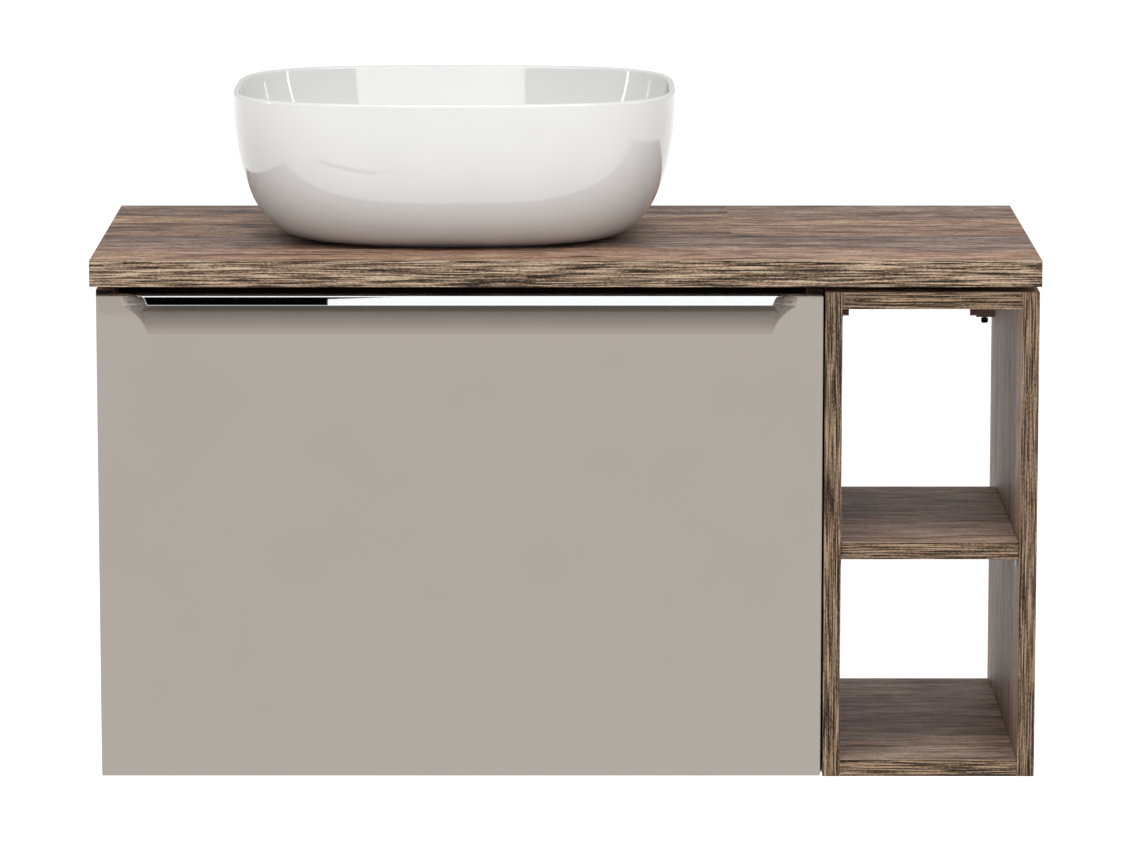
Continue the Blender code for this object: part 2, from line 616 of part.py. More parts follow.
def make_trap():
    """The bottle trap, its cup, and the outlet pipe to the wall."""
    axis = (BASIN_X, BASIN_Y, 0)
    bore = PIPE_RADIUS - PIPE_WALL
    inside = TRAP_RADIUS - TRAP_WALL
    collar = TAIL_Z - TOUCH
    ledge = collar - TRAP_COLLAR_THICK
    shoulder = OUTLET_Z + TRAP_SHOULDER
    dip = OUTLET_Z - TRAP_DIP
    slope, step = 0.012, 0.004
    body = turned("trap_body", [(COLLAR_RADIUS, collar), (COLLAR_RADIUS, ledge), (PIPE_RADIUS, ledge),
                                (PIPE_RADIUS, shoulder), (TRAP_RADIUS, shoulder - slope),
                                (TRAP_RADIUS, TRAP_BOTTOM), (inside, TRAP_BOTTOM),
                                (inside, shoulder - slope - 0.003), (PIPE_RADIUS, shoulder - step),
                                (PIPE_RADIUS, dip), (bore, dip), (bore, collar)], CHROME, axis)
    stub_start = BASIN_Y + inside + TOUCH
    stub_end = BASIN_Y + TRAP_RADIUS + STUB_REACH
    stub = rod("trap_stub", (BASIN_X, stub_start, OUTLET_Z), (BASIN_X, stub_end, OUTLET_Z),
               STUB_RADIUS, ROUND_STEPS)
    join(body, stub)
    passage = rod("trap_stub_cut", (BASIN_X, stub_start - 3 * TRAP_WALL, OUTLET_Z),
                  (BASIN_X, stub_end + PAST, OUTLET_Z), PIPE_RADIUS + TOUCH, ROUND_STEPS)
    combine(body, passage)
    nut_top, nut_low = TAIL_Z + NUT_REACH, collar - NUT_REACH
    nut_radius = WASTE_RADIUS + NUT_LAP
    turned("trap_inlet_nut", [(nut_radius, nut_top), (nut_radius, nut_low), (PIPE_RADIUS + TOUCH, nut_low),
                              (PIPE_RADIUS + TOUCH, ledge - TOUCH), (WASTE_RADIUS + TOUCH, ledge - TOUCH),
                              (WASTE_RADIUS + TOUCH, nut_top)], CHROME, axis)
    rim_z = TRAP_BOTTOM + CUP_RIM
    floor = OUTLET_Z - TRAP_CUP_DEPTH
    sleeve = TRAP_RADIUS + RUN
    chamfer = 0.006
    turned("trap_cup", [(0, floor), (inside, floor), (inside, TRAP_BOTTOM - RUN), (sleeve, TRAP_BOTTOM - RUN),
                        (sleeve, rim_z), (CUP_RADIUS, rim_z), (CUP_RADIUS, TRAP_BOTTOM - chamfer),
                        (TRAP_RADIUS, TRAP_BOTTOM - chamfer - CUP_WALL), (TRAP_RADIUS, floor + chamfer),
                        (TRAP_RADIUS - 0.010, floor - 0.0035), (0, floor - 0.005)],
           CHROME, axis, closed=False)
    to_wall = (-math.pi / 2, 0, 0)
    outlet = (BASIN_X, 0, OUTLET_Z)
    turned("trap_outlet_pipe", ring_profile(PIPE_RADIUS, bore, stub_end - PIPE_OVERLAP, 0), CHROME,
           outlet, to_wall)
    over, nut_radius = STUB_RADIUS + TOUCH, PIPE_RADIUS + OUTLET_NUT_LAP
    front, back = stub_end - NUT_REACH, stub_end + OUTLET_NUT_REACH
    turned("trap_outlet_nut", [(nut_radius, back), (nut_radius, front), (over, front),
                               (over, stub_end + TOUCH), (PIPE_RADIUS + TOUCH, stub_end + TOUCH),
                               (PIPE_RADIUS + TOUCH, back)], CHROME, outlet, to_wall)
    turned("wall_rosette", [(ROSETTE_RADIUS, 0), (ROSETTE_RADIUS, -ROSETTE_RIM),
                            (PIPE_RADIUS + ROSETTE_THICK, -ROSETTE_THICK),
                            (PIPE_RADIUS + TOUCH, -ROSETTE_THICK), (PIPE_RADIUS + TOUCH, 0)],
           CHROME, outlet, to_wall)


# ---------------------------------------------------------------- drawer unit carcass
def make_drawer_unit():
    """Sides, bottom and cross rails of the drawer unit."""
    deep = (CARCASS_FRONT_Y, CARCASS_BACK_Y)
    tall = (CARCASS_BOTTOM, CARCASS_TOP)
    board("drawer_unit_side_left", (LEFT, DRAWER_INNER_LEFT), deep, tall)
    board("drawer_unit_side_right", (DRAWER_INNER_RIGHT, DRAWER_UNIT_RIGHT), deep, tall)
    between = (DRAWER_INNER_LEFT + TOUCH, DRAWER_INNER_RIGHT - TOUCH)
    board("drawer_unit_bottom", between, deep, (CARCASS_BOTTOM, FLOOR_Z))
    rail_front = CARCASS_FRONT_Y + FRONT_RAIL_SETBACK
    board("drawer_unit_front_rail", between, (rail_front, rail_front + BOARD),
          (CARCASS_TOP - FRONT_RAIL_HEIGHT, CARCASS_TOP))
    back = (CARCASS_BACK_Y - BOARD, CARCASS_BACK_Y)
    upper = CARCASS_TOP - UPPER_BACK_RAIL_DROP
    board("drawer_unit_upper_back_rail", between, back, (upper - RAIL_BOARD_HEIGHT, upper))
    lower = FLOOR_Z + TOUCH
    board("drawer_unit_lower_back_rail", between, back, (lower, lower + RAIL_BOARD_HEIGHT))


# ---------------------------------------------------------------- wall rail and hangers
def make_wall_rail():
    """The steel rail on the wall, stepped forward at its top so that hooks drop behind it."""
    reach, step = -WALL_RAIL_REACH, WALL_RAIL_STEP
    outline = [(0, -WALL_RAIL_DOWN), (0, step + SHEET), (reach + SHEET, step + SHEET),
               (reach + SHEET, WALL_RAIL_UP), (reach, WALL_RAIL_UP), (reach, step),
               (-SHEET, step), (-SHEET, -WALL_RAIL_DOWN)]
    half = WORKTOP_WIDTH / 2 - WALL_RAIL_END_GAP
    prism("wall_rail", outline, -half, half, ZINC_STEEL, axis='X')


def make_hanger(name, inner, way):
    """A cabinet hanger on a side's inner face: body, hook and side boss, and its lifting screw."""
    near, far = across(inner, way, TOUCH, TOUCH + HANGER_WIDTH)
    top = CARCASS_TOP - HANGER_DROP
    bottom = top - HANGER_HEIGHT
    front = -(HANGER_BACK + HANGER_DEPTH)
    body = box(name, (near, front, bottom), (far, -HANGER_BACK, top), BROWN_PLASTIC)
    over = WALL_RAIL_UP + TOUCH
    behind = -WALL_RAIL_REACH + SHEET + HOOK_PLAY
    hook_end = WALL_RAIL_STEP + SHEET + HOOK_ROOT
    root = -HANGER_BACK - HOOK_ROOT
    hook_line = [(root, over), (behind, over), (behind, hook_end), (behind + SHEET, hook_end),
                 (behind + SHEET, over + SHEET), (root, over + SHEET)]
    middle = (near + far) / 2
    hook = prism(name + "_hook", hook_line, middle - HOOK_WIDTH / 2, middle + HOOK_WIDTH / 2,
                 axis='X', cutter=True)
    join(body, hook)
    boss_at = (front + BOSS_INSET, bottom + BOSS_LIFT)
    boss = rod(name + "_boss", (inner + way * (HANGER_WIDTH - HOOK_PLAY), *boss_at),
               (inner + way * (HANGER_WIDTH + BOSS_REACH), *boss_at), BOSS_RADIUS)
    join(body, boss)
    screw_y = front + BOSS_INSET + 0.001
    well = rod(name + "_well", (middle, screw_y, bottom - PAST), (middle, screw_y, bottom + SCREW_LENGTH),
               SCREW_RADIUS + RUN)
    combine(body, well)
    head = bottom - SCREW_GAP
    edge = 0.001
    screw = turned(name + "_screw", [(0, SCREW_LENGTH), (SCREW_RADIUS, SCREW_LENGTH), (SCREW_RADIUS, 0),
                                     (SCREW_HEAD_RADIUS, 0), (SCREW_HEAD_RADIUS, edge - SCREW_HEAD_HEIGHT),
                                     (SCREW_HEAD_RADIUS - edge, -SCREW_HEAD_HEIGHT),
                                     (0, -SCREW_HEAD_HEIGHT)], BLACK_STEEL,
                   (middle, screw_y, head), closed=False, steps=SMALL_STEPS)
    half = SCREW_SLOT_WIDTH / 2
    slot = box(name + "_slot", (middle - PAST, screw_y - half, head - PAST),
               (middle + PAST, screw_y + half, head - SCREW_HEAD_HEIGHT + SCREW_SLOT_DEPTH), cutter=True)
    combine(screw, slot)


# ---------------------------------------------------------------- runners
def make_runner(side, inner, way):
    """An undermount runner: the carcass, middle and drawer members."""
    y = (CARCASS_FRONT_Y + RUNNER_FRONT_GAP, CARCASS_BACK_Y - RUNNER_BACK_GAP)
    base = FLOOR_Z + TOUCH
    leg_x = across(inner, way, TOUCH, TOUCH + RUNNER_STEEL)
    fixed = board("runner_fixed_" + side, leg_x, y, (base, base + RUNNER_LEG), ZINC_STEEL)
    foot_x = across(inner, way, TOUCH + RUNNER_STEEL / 3, RUNNER_FAR)
    foot = box("runner_foot_" + side, (foot_x[0], y[0], base), (foot_x[1], y[1], base + SHEET), cutter=True)
    join(fixed, foot)
    track_x = across(inner, way, RUNNER_NEAR + TRACK_INSET, RUNNER_FAR - TRACK_INSET)
    track = box("runner_track_" + side, (track_x[0], y[0], base + SHEET / 2),
                (track_x[1], y[1], base + TRACK_HEIGHT), cutter=True)
    join(fixed, track)
    middle_low = base + TRACK_HEIGHT + RUN
    middle_high = middle_low + MIDDLE_HEIGHT
    middle = board("runner_middle_" + side,
                   across(inner, way, RUNNER_NEAR + MIDDLE_INSET, RUNNER_FAR - MIDDLE_INSET), y,
                   (middle_low, middle_high), ZINC_STEEL)
    member = board("runner_drawer_" + side, across(inner, way, RUNNER_NEAR, RUNNER_FAR), y,
                   (middle_high + RUN, FLOOR_Z + RUNNER_HEIGHT), ZINC_STEEL)
    group("runner_middle_" + side + "_slide", ((track_x[0] + track_x[1]) / 2, y[0], middle_low), [middle])
    return member


# ---------------------------------------------------------------- drawer
def cove_ring(height, depth):
    """A level outline of the hand recess, open past the face of the drawer front."""
    half = STRIP_HALF - STRIP_END_SLOPE
    outside = FACE_Y - PAST
    shares = [1 - i / COVE_END_STEPS for i in range(COVE_END_STEPS + 1)]
    side = [(half + COVE_END_STRETCH * depth * share, FACE_Y + depth * (1 + math.cos(math.pi * share)) / 2)
            for share in shares]
    ring = [(side[0][0], outside)] + side
    whole = ring + [(-x, y) for x, y in reversed(ring)]
    return [(FRONT_MIDDLE + x, y, height) for x, y in whole]


def make_cove_cutter():
    """The hand recess: an arc that leaves the face gently and ends upright behind the strip."""
    exit_angle = 2 * math.atan(COVE_DEPTH / COVE_HEIGHT) - COVE_ENTRY
    radius = COVE_HEIGHT / (math.sin(exit_angle) - math.sin(COVE_ENTRY))
    start = FRONT_TOP - STRIP_HEIGHT - COVE_HEIGHT
    rings = []
    for i in range(COVE_STEPS + 1):
        share = COVE_START + (1 - COVE_START) * i / COVE_STEPS
        angle = COVE_ENTRY + (exit_angle - COVE_ENTRY) * share
        depth = radius * (math.cos(COVE_ENTRY) - math.cos(angle))
        rings.append(cove_ring(start + radius * (math.sin(angle) - math.sin(COVE_ENTRY)), depth))
    rings.append(cove_ring(FRONT_TOP + PAST, COVE_DEPTH))
    return loft("drawer_cove_cut", rings, cutter=True)


def flange_outline(grow=0.0):
    """Plan of the strip's top flange, longer at the back than at the face."""
    front_half = STRIP_HALF + grow
    back_half = STRIP_HALF + STRIP_FLARE + grow
    front, back = FACE_Y - 4 * grow, FACE_Y + STRIP_FLANGE + grow
    return [(FRONT_MIDDLE - front_half, front), (FRONT_MIDDLE + front_half, front),
            (FRONT_MIDDLE + back_half, back), (FRONT_MIDDLE - back_half, back)]


def make_drawer_front():
    """The gloss front with its milled hand recess, and the chrome strip along its top."""
    front = board("drawer_front", (FRONT_LEFT, FRONT_RIGHT), (FACE_Y, FRONT_BACK_Y),
                  (FRONT_BOTTOM, FRONT_TOP), GLOSS_TAUPE)
    combine(front, make_cove_cutter())
    rebate = prism("drawer_rebate_cut", flange_outline(TOUCH), FRONT_TOP - STRIP_THICK - TOUCH,
                   FRONT_TOP + PAST, cutter=True)
    combine(front, rebate)
    strip = prism("drawer_handle_strip", flange_outline(), FRONT_TOP - STRIP_THICK, FRONT_TOP, CHROME)
    low_half = STRIP_HALF - STRIP_END_SLOPE
    low_z = FRONT_TOP - STRIP_HEIGHT
    face = [(-low_half, low_z), (low_half, low_z), (STRIP_HALF, FRONT_TOP), (-STRIP_HALF, FRONT_TOP)]
    rings = [[(FRONT_MIDDLE + x, y, z) for x, z in face] for y in (FACE_Y, FACE_Y + STRIP_THICK)]
    join(strip, loft("strip_face", rings, cutter=True))
    return [front, strip]


def notch_outline(grow, back):
    """The U-shaped notch round the trap, open at the back, with round front corners."""
    half = NOTCH_HALF_WIDTH + grow
    front = NOTCH_FRONT_Y - grow
    corner = NOTCH_CORNER + grow
    left = arc(BASIN_X - half + corner, front + corner, corner, 180, 270)
    right = arc(BASIN_X + half - corner, front + corner, corner, 270, 360)
    return [(BASIN_X - half, back)] + left + right + [(BASIN_X + half, back)]


def make_drawer_box():
    """Drawer sides, notched bottom, split back and the guard round the trap."""
    y = (DRAWER_FRONT_Y, DRAWER_BACK_Y)
    z = (SIDE_UNDER, SIDE_TOP)
    left_in, right_in = DRAWER_LEFT + DRAWER_BOARD, DRAWER_RIGHT - DRAWER_BOARD
    pieces = [board("drawer_side_left", (DRAWER_LEFT, left_in), y, z, DRAWER_GREY),
              board("drawer_side_right", (right_in, DRAWER_RIGHT), y, z, DRAWER_GREY)]
    bottom = board("drawer_bottom", (left_in + TOUCH, right_in - TOUCH), y, (PANEL_UNDER, PANEL_TOP),
                   DRAWER_GREY)
    notch = prism("drawer_notch_cut", notch_outline(0, DRAWER_BACK_Y + PAST), PANEL_UNDER - PAST,
                  PANEL_TOP + PAST, cutter=True)
    combine(bottom, notch)
    inner = notch_outline(0, DRAWER_BACK_Y)
    outer = notch_outline(GUARD_THICK, DRAWER_BACK_Y)
    guard_low = PANEL_TOP + TOUCH
    guard = prism("drawer_trap_guard", outer + list(reversed(inner)), guard_low, guard_low + GUARD_HEIGHT,
                  WHITE_PLASTIC)
    back_y = (DRAWER_BACK_Y - DRAWER_BOARD, DRAWER_BACK_Y)
    back_z = (guard_low, SIDE_TOP)
    reach = NOTCH_HALF_WIDTH + GUARD_THICK + TOUCH
    pieces += [bottom, guard,
               board("drawer_back_left", (left_in + TOUCH, BASIN_X - reach), back_y, back_z, DRAWER_GREY),
               board("drawer_back_right", (BASIN_X + reach, right_in - TOUCH), back_y, back_z, DRAWER_GREY)]
    return pieces


def make_clip(side, inner, way):
    """A locking clip under the drawer's front corner, and the lever that releases it."""
    near = RUNNER_FAR + CLIP_GAP
    x = across(inner, way, near, near + CLIP_WIDTH)
    low, high = PANEL_UNDER - TOUCH - CLIP_THICK, PANEL_UNDER - TOUCH
    clip = board("locking_clip_" + side, x, (DRAWER_FRONT_Y, DRAWER_FRONT_Y + CLIP_DEPTH), (low, high),
                 DRAWER_GREY)
    pivot = ((x[0] + x[1]) / 2, DRAWER_FRONT_Y + CLIP_PIVOT)
    lever_high = low - RUN
    lever_low = lever_high - LEVER_THICK
    pin = rod("clip_pin_" + side, (*pivot, lever_low), (*pivot, low + CLIP_THICK / 5), LEVER_PIN_RADIUS)
    join(clip, pin)
    end = way * (LEVER_LENGTH - LEVER_WIDTH)
    half = LEVER_WIDTH / 2
    if way > 0:
        outline = arc(0, 0, half, 90, 270) + arc(end, 0, half, -90, 90)
    else:
        outline = arc(end, 0, half, 90, 270) + arc(0, 0, half, -90, 90)
    lever = prism("clip_lever_" + side, outline, -LEVER_THICK / 2, LEVER_THICK / 2, ORANGE_PLASTIC)
    lever.location = (*pivot, (lever_low + lever_high) / 2)
    hole = rod("clip_lever_cut_" + side, (*pivot, lever_low - PAST), (*pivot, lever_high + PAST),
               LEVER_PIN_RADIUS + TOUCH)
    combine(lever, hole)
    return [clip, lever]


# ---------------------------------------------------------------- shelf unit
def make_support(name, inner, way, y, under):
    """A shelf support: a plate with a tab under the shelf and a pin in the side."""
    plate_x = across(inner, way, TOUCH, TOUCH + SUPPORT_PLATE_THICK)
    plate = box(name, (plate_x[0], y - SUPPORT_HALF_WIDTH, under - SUPPORT_PLATE),
                (plate_x[1], y + SUPPORT_HALF_WIDTH, under), ZINC_STEEL)
    tab_x = across(inner, way, TOUCH + SUPPORT_PLATE_THICK / 3, TOUCH + SUPPORT_TAB)
    tab = box(name + "_tab", (tab_x[0], y - SUPPORT_TAB_HALF, under - SUPPORT_TAB_THICK),
              (tab_x[1], y + SUPPORT_TAB_HALF, under), cutter=True)
    join(plate, tab)
    pin_z = under - SUPPORT_PLATE / 2 - SUPPORT_PIN_DROP
    pin = rod(name + "_pin", (inner - way * (SUPPORT_HOLE_DEPTH - RUN), y, pin_z),
              (inner + way * (SUPPORT_PLATE_THICK - TOUCH), y, pin_z), SUPPORT_PIN_RADIUS)
    join(plate, pin)
    return pin_z


def make_shelf_unit():
    """The open unit: sides, top, bottom, and the middle shelf on its four supports."""
    deep = (FACE_Y, CARCASS_BACK_Y)
    tall = (CARCASS_BOTTOM, CARCASS_TOP)
    sides = [board("shelf_unit_side_left", (SHELF_UNIT_LEFT, SHELF_INNER_LEFT), deep, tall),
             board("shelf_unit_side_right", (SHELF_INNER_RIGHT, RIGHT), deep, tall)]
    between = (SHELF_INNER_LEFT + TOUCH, SHELF_INNER_RIGHT - TOUCH)
    inset = (FACE_Y, CARCASS_BACK_Y - SHELF_UNIT_BACK_INSET)
    board("shelf_unit_top", between, inset, (CARCASS_TOP - BOARD, CARCASS_TOP))
    board("shelf_unit_bottom", between, inset, (CARCASS_BOTTOM, CARCASS_BOTTOM + BOARD))
    shelf_top = CARCASS_TOP - MIDDLE_SHELF_DROP
    front = FACE_Y + MIDDLE_SHELF_SETBACK
    back = front + MIDDLE_SHELF_DEPTH
    board("middle_shelf", (between[0] + TOUCH, between[1] - TOUCH), (front, back),
          (shelf_top - BOARD, shelf_top))
    under = shelf_top - BOARD - TOUCH
    for side, panel, inner, way in (("left", sides[0], SHELF_INNER_LEFT, 1),
                                    ("right", sides[1], SHELF_INNER_RIGHT, -1)):
        for where, y in (("front", front + SUPPORT_INSET), ("back", back - SUPPORT_INSET)):
            name = "shelf_support_" + where + "_" + side
            pin_z = make_support(name, inner, way, y, under)
            hole = rod(name + "_cut", (inner + way * PAST, y, pin_z),
                       (inner - way * SUPPORT_HOLE_DEPTH, y, pin_z), SUPPORT_PIN_RADIUS + TOUCH)
            combine(panel, hole)


# ---------------------------------------------------------------- assembly
make_worktop()
make_basin()
make_waste()
make_trap()
make_drawer_unit()
make_wall_rail()
make_hanger("hanger_drawer_left", DRAWER_INNER_LEFT, 1)
make_hanger("hanger_drawer_right", DRAWER_INNER_RIGHT, -1)
make_hanger("hanger_shelf_left", SHELF_INNER_LEFT, 1)
make_hanger("hanger_shelf_right", SHELF_INNER_RIGHT, -1)
make_shelf_unit()
drawer = make_drawer_front() + make_drawer_box()
for hand, inner_face, direction in (("left", DRAWER_INNER_LEFT, 1), ("right", DRAWER_INNER_RIGHT, -1)):
    drawer.append(make_runner(hand, inner_face, direction))
    drawer += make_clip(hand, inner_face, direction)
group("drawer_slide", (FRONT_MIDDLE, FACE_Y, FLOOR_Z), drawer)
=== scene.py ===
# %% [markdown]
# # A wall-hung vanity with a vessel basin
# A gloss drawer unit and an open shelf unit hang side by side from one steel rail, under a single
# worktop with a ceramic basin on it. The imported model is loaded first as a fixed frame. Every
# piece after that is placed from the frame's own boxes, so nothing has to be fitted by eye.

# %% Load the frame
import math

import bmesh
import bpy
from mathutils import Matrix, Vector


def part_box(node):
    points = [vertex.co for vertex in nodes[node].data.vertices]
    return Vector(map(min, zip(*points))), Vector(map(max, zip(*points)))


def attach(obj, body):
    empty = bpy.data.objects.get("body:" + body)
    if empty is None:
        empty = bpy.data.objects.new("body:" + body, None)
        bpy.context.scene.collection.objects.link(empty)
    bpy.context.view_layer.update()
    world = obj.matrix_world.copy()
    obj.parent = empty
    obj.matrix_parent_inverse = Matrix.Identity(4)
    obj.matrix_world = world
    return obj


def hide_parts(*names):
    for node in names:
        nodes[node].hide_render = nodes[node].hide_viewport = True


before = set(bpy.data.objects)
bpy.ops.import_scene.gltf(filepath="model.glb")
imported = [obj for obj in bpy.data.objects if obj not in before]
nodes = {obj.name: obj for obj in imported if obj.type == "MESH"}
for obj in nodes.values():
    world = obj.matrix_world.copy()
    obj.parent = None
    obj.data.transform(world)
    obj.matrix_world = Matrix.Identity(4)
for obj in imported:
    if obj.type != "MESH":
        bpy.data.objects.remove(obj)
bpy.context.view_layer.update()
MM = 0.001

# %% [markdown]
# ## Colours and nodes
# Colours are written as sRGB hex, as on a paint card, but Blender's sockets want linear light, so
# one function turns the one into the other. A second one adds any node, sets it and wires it.
# Materials stay readable this way: each line of a finish is one node.

# %% Helpers for materials
def paint(code):
    """An sRGB hex code as linear red, green, blue and alpha."""
    parts = [int(code[i:i + 2], 16) / 255 for i in (1, 3, 5)]
    return [p / 12.92 if p <= 0.04045 else ((p + 0.055) / 1.055) ** 2.4 for p in parts] + [1.0]


def add(tree, kind, inputs=None, stops=None, **settings):
    """Adds a node: settings are its own properties, and inputs are values or sockets to wire in."""
    node = tree.nodes.new("ShaderNode" + kind)
    for name, value in settings.items():
        setattr(node, name, value)
    for name, value in (inputs or {}).items():
        if isinstance(value, bpy.types.NodeSocket):
            tree.links.new(value, node.inputs[name])
        else:
            node.inputs[name].default_value = value
    if stops:
        ramp = node.color_ramp
        while len(ramp.elements) < len(stops):
            ramp.elements.new(1.0)
        for element, (place, code) in zip(ramp.elements, stops):
            element.position, element.color = place, paint(code)
    return node


def new_finish(name, **steady):
    """A material with steady values set on its shader. Returns it, its tree and its shader."""
    made = bpy.data.materials.new(name)
    made.use_nodes = True
    shader = made.node_tree.nodes["Principled BSDF"]
    for socket, value in steady.items():
        shader.inputs[socket.replace("_", " ")].default_value = value
    return made, made.node_tree, shader


def per_metre(*sizes):
    """Mapping scale for a pattern whose features are that many mm along X, Y and Z."""
    return [1 / (size * MM) for size in sizes]


def along(axis, length, width):
    """The three sizes of a fibre that runs along one axis."""
    return [length if name == axis else width for name in "XYZ"]


def speckle(tree, spot, size, detail):
    """Even noise whose features are about that many mm across."""
    scaled = add(tree, "Mapping", {"Vector": spot, "Scale": per_metre(size, size, size)})
    noise = add(tree, "TexNoise", {"Vector": scaled.outputs[0], "Scale": 1.0, "Detail": detail})
    return noise.outputs["Fac"]


# %% [markdown]
# ## Stage, light and camera
# The unit is lit as in a white studio: an even white world, a large soft box overhead, a smaller
# one in front and two tall strip lights that draw the thin highlights inside the basin. A window
# light is linked to the basin alone, because only the glaze should mirror it, and the gloss foil
# below should not. A narrow black flag in front is seen only in reflections, and gives the chrome
# strip its dark end. The lights are hidden from the camera, so they can stand anywhere.

# %% Floor and world
FLOOR_BELOW_WORKTOP, FLOOR_REACH = 0.85, 40
FLOOR_GLOW, SKY_STRENGTH = 0.43, 0.68
worktop_low, worktop_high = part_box("worktop")
strip_low, strip_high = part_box("drawer_handle_strip")
basin_low, basin_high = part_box("basin")
floor_z = worktop_high.z - FLOOR_BELOW_WORKTOP

floor_mesh = bpy.data.meshes.new("studio_floor")
grid = bmesh.new()
bmesh.ops.create_grid(grid, x_segments=8, y_segments=8, size=FLOOR_REACH)
grid.to_mesh(floor_mesh)
grid.free()
floor = bpy.data.objects.new("studio_floor", floor_mesh)
floor.location.z = floor_z
bpy.context.scene.collection.objects.link(floor)

floor_paint, tree, shader = new_finish("white_floor_paint", Roughness=0.9, Specular_IOR_Level=0.1,
                                       Emission_Strength=FLOOR_GLOW)
shader.inputs["Emission Color"].default_value = paint("#FFFFFF")
where = add(tree, "TexCoord")
roller = add(tree, "TexNoise", {"Vector": where.outputs["Object"], "Scale": 30.0, "Detail": 3.0})
tone = add(tree, "ValToRGB", {"Fac": roller.outputs["Fac"]}, stops=[(0, "#F8F8F8"), (1, "#FBFBFB")])
tree.links.new(tone.outputs["Color"], shader.inputs["Base Color"])
floor_mesh.materials.append(floor_paint)

world = bpy.data.worlds.new("white_studio")
bpy.context.scene.world = world
world.use_nodes = True
sky = world.node_tree.nodes.get("Background") or add(world.node_tree, "Background")
sky.inputs["Color"].default_value = paint("#FFFFFF")
sky.inputs["Strength"].default_value = SKY_STRENGTH
bpy.context.scene.view_settings.view_transform = 'Standard'
print("floor at", round(floor_z, 4))


# %% Lights
def soft_box(name, place, aim, width, height, watts):
    """A rectangular light at place, turned to face aim and hidden from the camera."""
    data = bpy.data.lights.new(name, 'AREA')
    data.shape = 'RECTANGLE'
    data.size, data.size_y, data.energy = width, height, watts
    lamp = bpy.data.objects.new(name, data)
    lamp.location = place
    lamp.rotation_euler = (Vector(aim) - Vector(place)).to_track_quat('-Z', 'Y').to_euler()
    lamp.visible_camera = False
    bpy.context.scene.collection.objects.link(lamp)
    return lamp


basin_middle = (basin_low + basin_high) / 2
soft_box("overhead_box", (0, -1.4, 2.3), basin_middle, 2.2, 1.2, 31)
soft_box("front_box", (0.2, -2.4, 1.9), (0, -0.4, 0), 2.4, 1.0, 2)
soft_box("left_strip", (-2.6, -0.5, 1.0), basin_middle, 0.16, 1.3, 4)
soft_box("right_strip", (2.4, -0.6, 1.0), basin_middle, 0.12, 1.3, 4)
window = soft_box("basin_window", (0.155, -3.4, 1.45), basin_middle, 1.31, 1.8, 21)
window_only = bpy.data.collections.new("lit_by_basin_window")
window.light_linking.receiver_collection = window_only
print("lights:", len(bpy.data.lights))

# %% Camera
# A long lens from over six metres, looking down a little, as a catalogue shot is taken.
FOCAL_LENGTH, SENSOR_WIDTH, LOOK_DOWN = 187.485, 36.0, 9.36
lens = bpy.data.cameras.new("long_lens")
lens.lens, lens.sensor_width = FOCAL_LENGTH, SENSOR_WIDTH
camera = bpy.data.objects.new("long_lens", lens)
camera.location = (0.0003, -6.5855, 0.9346)
camera.rotation_euler = (math.radians(90 - LOOK_DOWN), 0, 0)
bpy.context.scene.collection.objects.link(camera)
bpy.context.scene.camera = camera
print("camera stands", round(strip_low.y - camera.location.y, 2), "m in front of the strip")

# %% Black flag for the strip's reflection
# A mirror shows what its reflected sight line meets. The strip's sight line keeps falling as it
# comes back, so the flag hangs lower than the strip by that fall. Its top edge runs out to the
# right in a thin point, so the dark end of the reflection is not cut off square.
FLAG_GAP, FLAG_LEFT, FLAG_EDGE = 0.30, -0.52, -0.262
FLAG_TIP, TIP_DEEP = -0.150, 4.5 * MM
FLAG_UNDER, FLAG_OVER = 10 * MM, 1 * MM
flag_y = strip_low.y - FLAG_GAP
sight_fall = FLAG_GAP * (camera.location.z - strip_low.z) / (strip_low.y - camera.location.y)
flag_low = strip_low.z - sight_fall - FLAG_UNDER
flag_high = strip_high.z - sight_fall + FLAG_OVER
flag_corners = [(FLAG_LEFT, flag_low), (FLAG_EDGE, flag_low), (FLAG_EDGE, flag_high - TIP_DEEP),
                (FLAG_TIP, flag_high), (FLAG_LEFT, flag_high)]
flag_mesh = bpy.data.meshes.new("black_flag")
flag_shape = bmesh.new()
flag_shape.faces.new([flag_shape.verts.new((x, flag_y, z)) for x, z in flag_corners])
flag_shape.to_mesh(flag_mesh)
flag_shape.free()
flag = bpy.data.objects.new("black_flag", flag_mesh)
bpy.context.scene.collection.objects.link(flag)
for sight in ("camera", "diffuse", "transmission", "volume_scatter", "shadow"):
    setattr(flag, "visible_" + sight, False)
felt, tree, shader = new_finish("black_felt", Roughness=1.0, Specular_IOR_Level=0.0)
where = add(tree, "TexCoord")
nap = add(tree, "TexNoise", {"Vector": where.outputs["Object"], "Scale": 400.0})
tone = add(tree, "ValToRGB", {"Fac": nap.outputs["Fac"]}, stops=[(0, "#000000"), (1, "#030303")])
tree.links.new(tone.outputs["Color"], shader.inputs["Base Color"])
flag_mesh.materials.append(felt)
print("flag hangs", round(sight_fall / MM, 1), "mm below the strip")


# %% [markdown]
# ## Making meshes
# The rounded pieces are skinned from rings or spun from half sections in bmesh. Sharp edges don't
# exist on real furniture, so each hard-edged piece gets a small bevel: it is what catches the
# light along an edge. Weighted normals then keep the large faces flat.

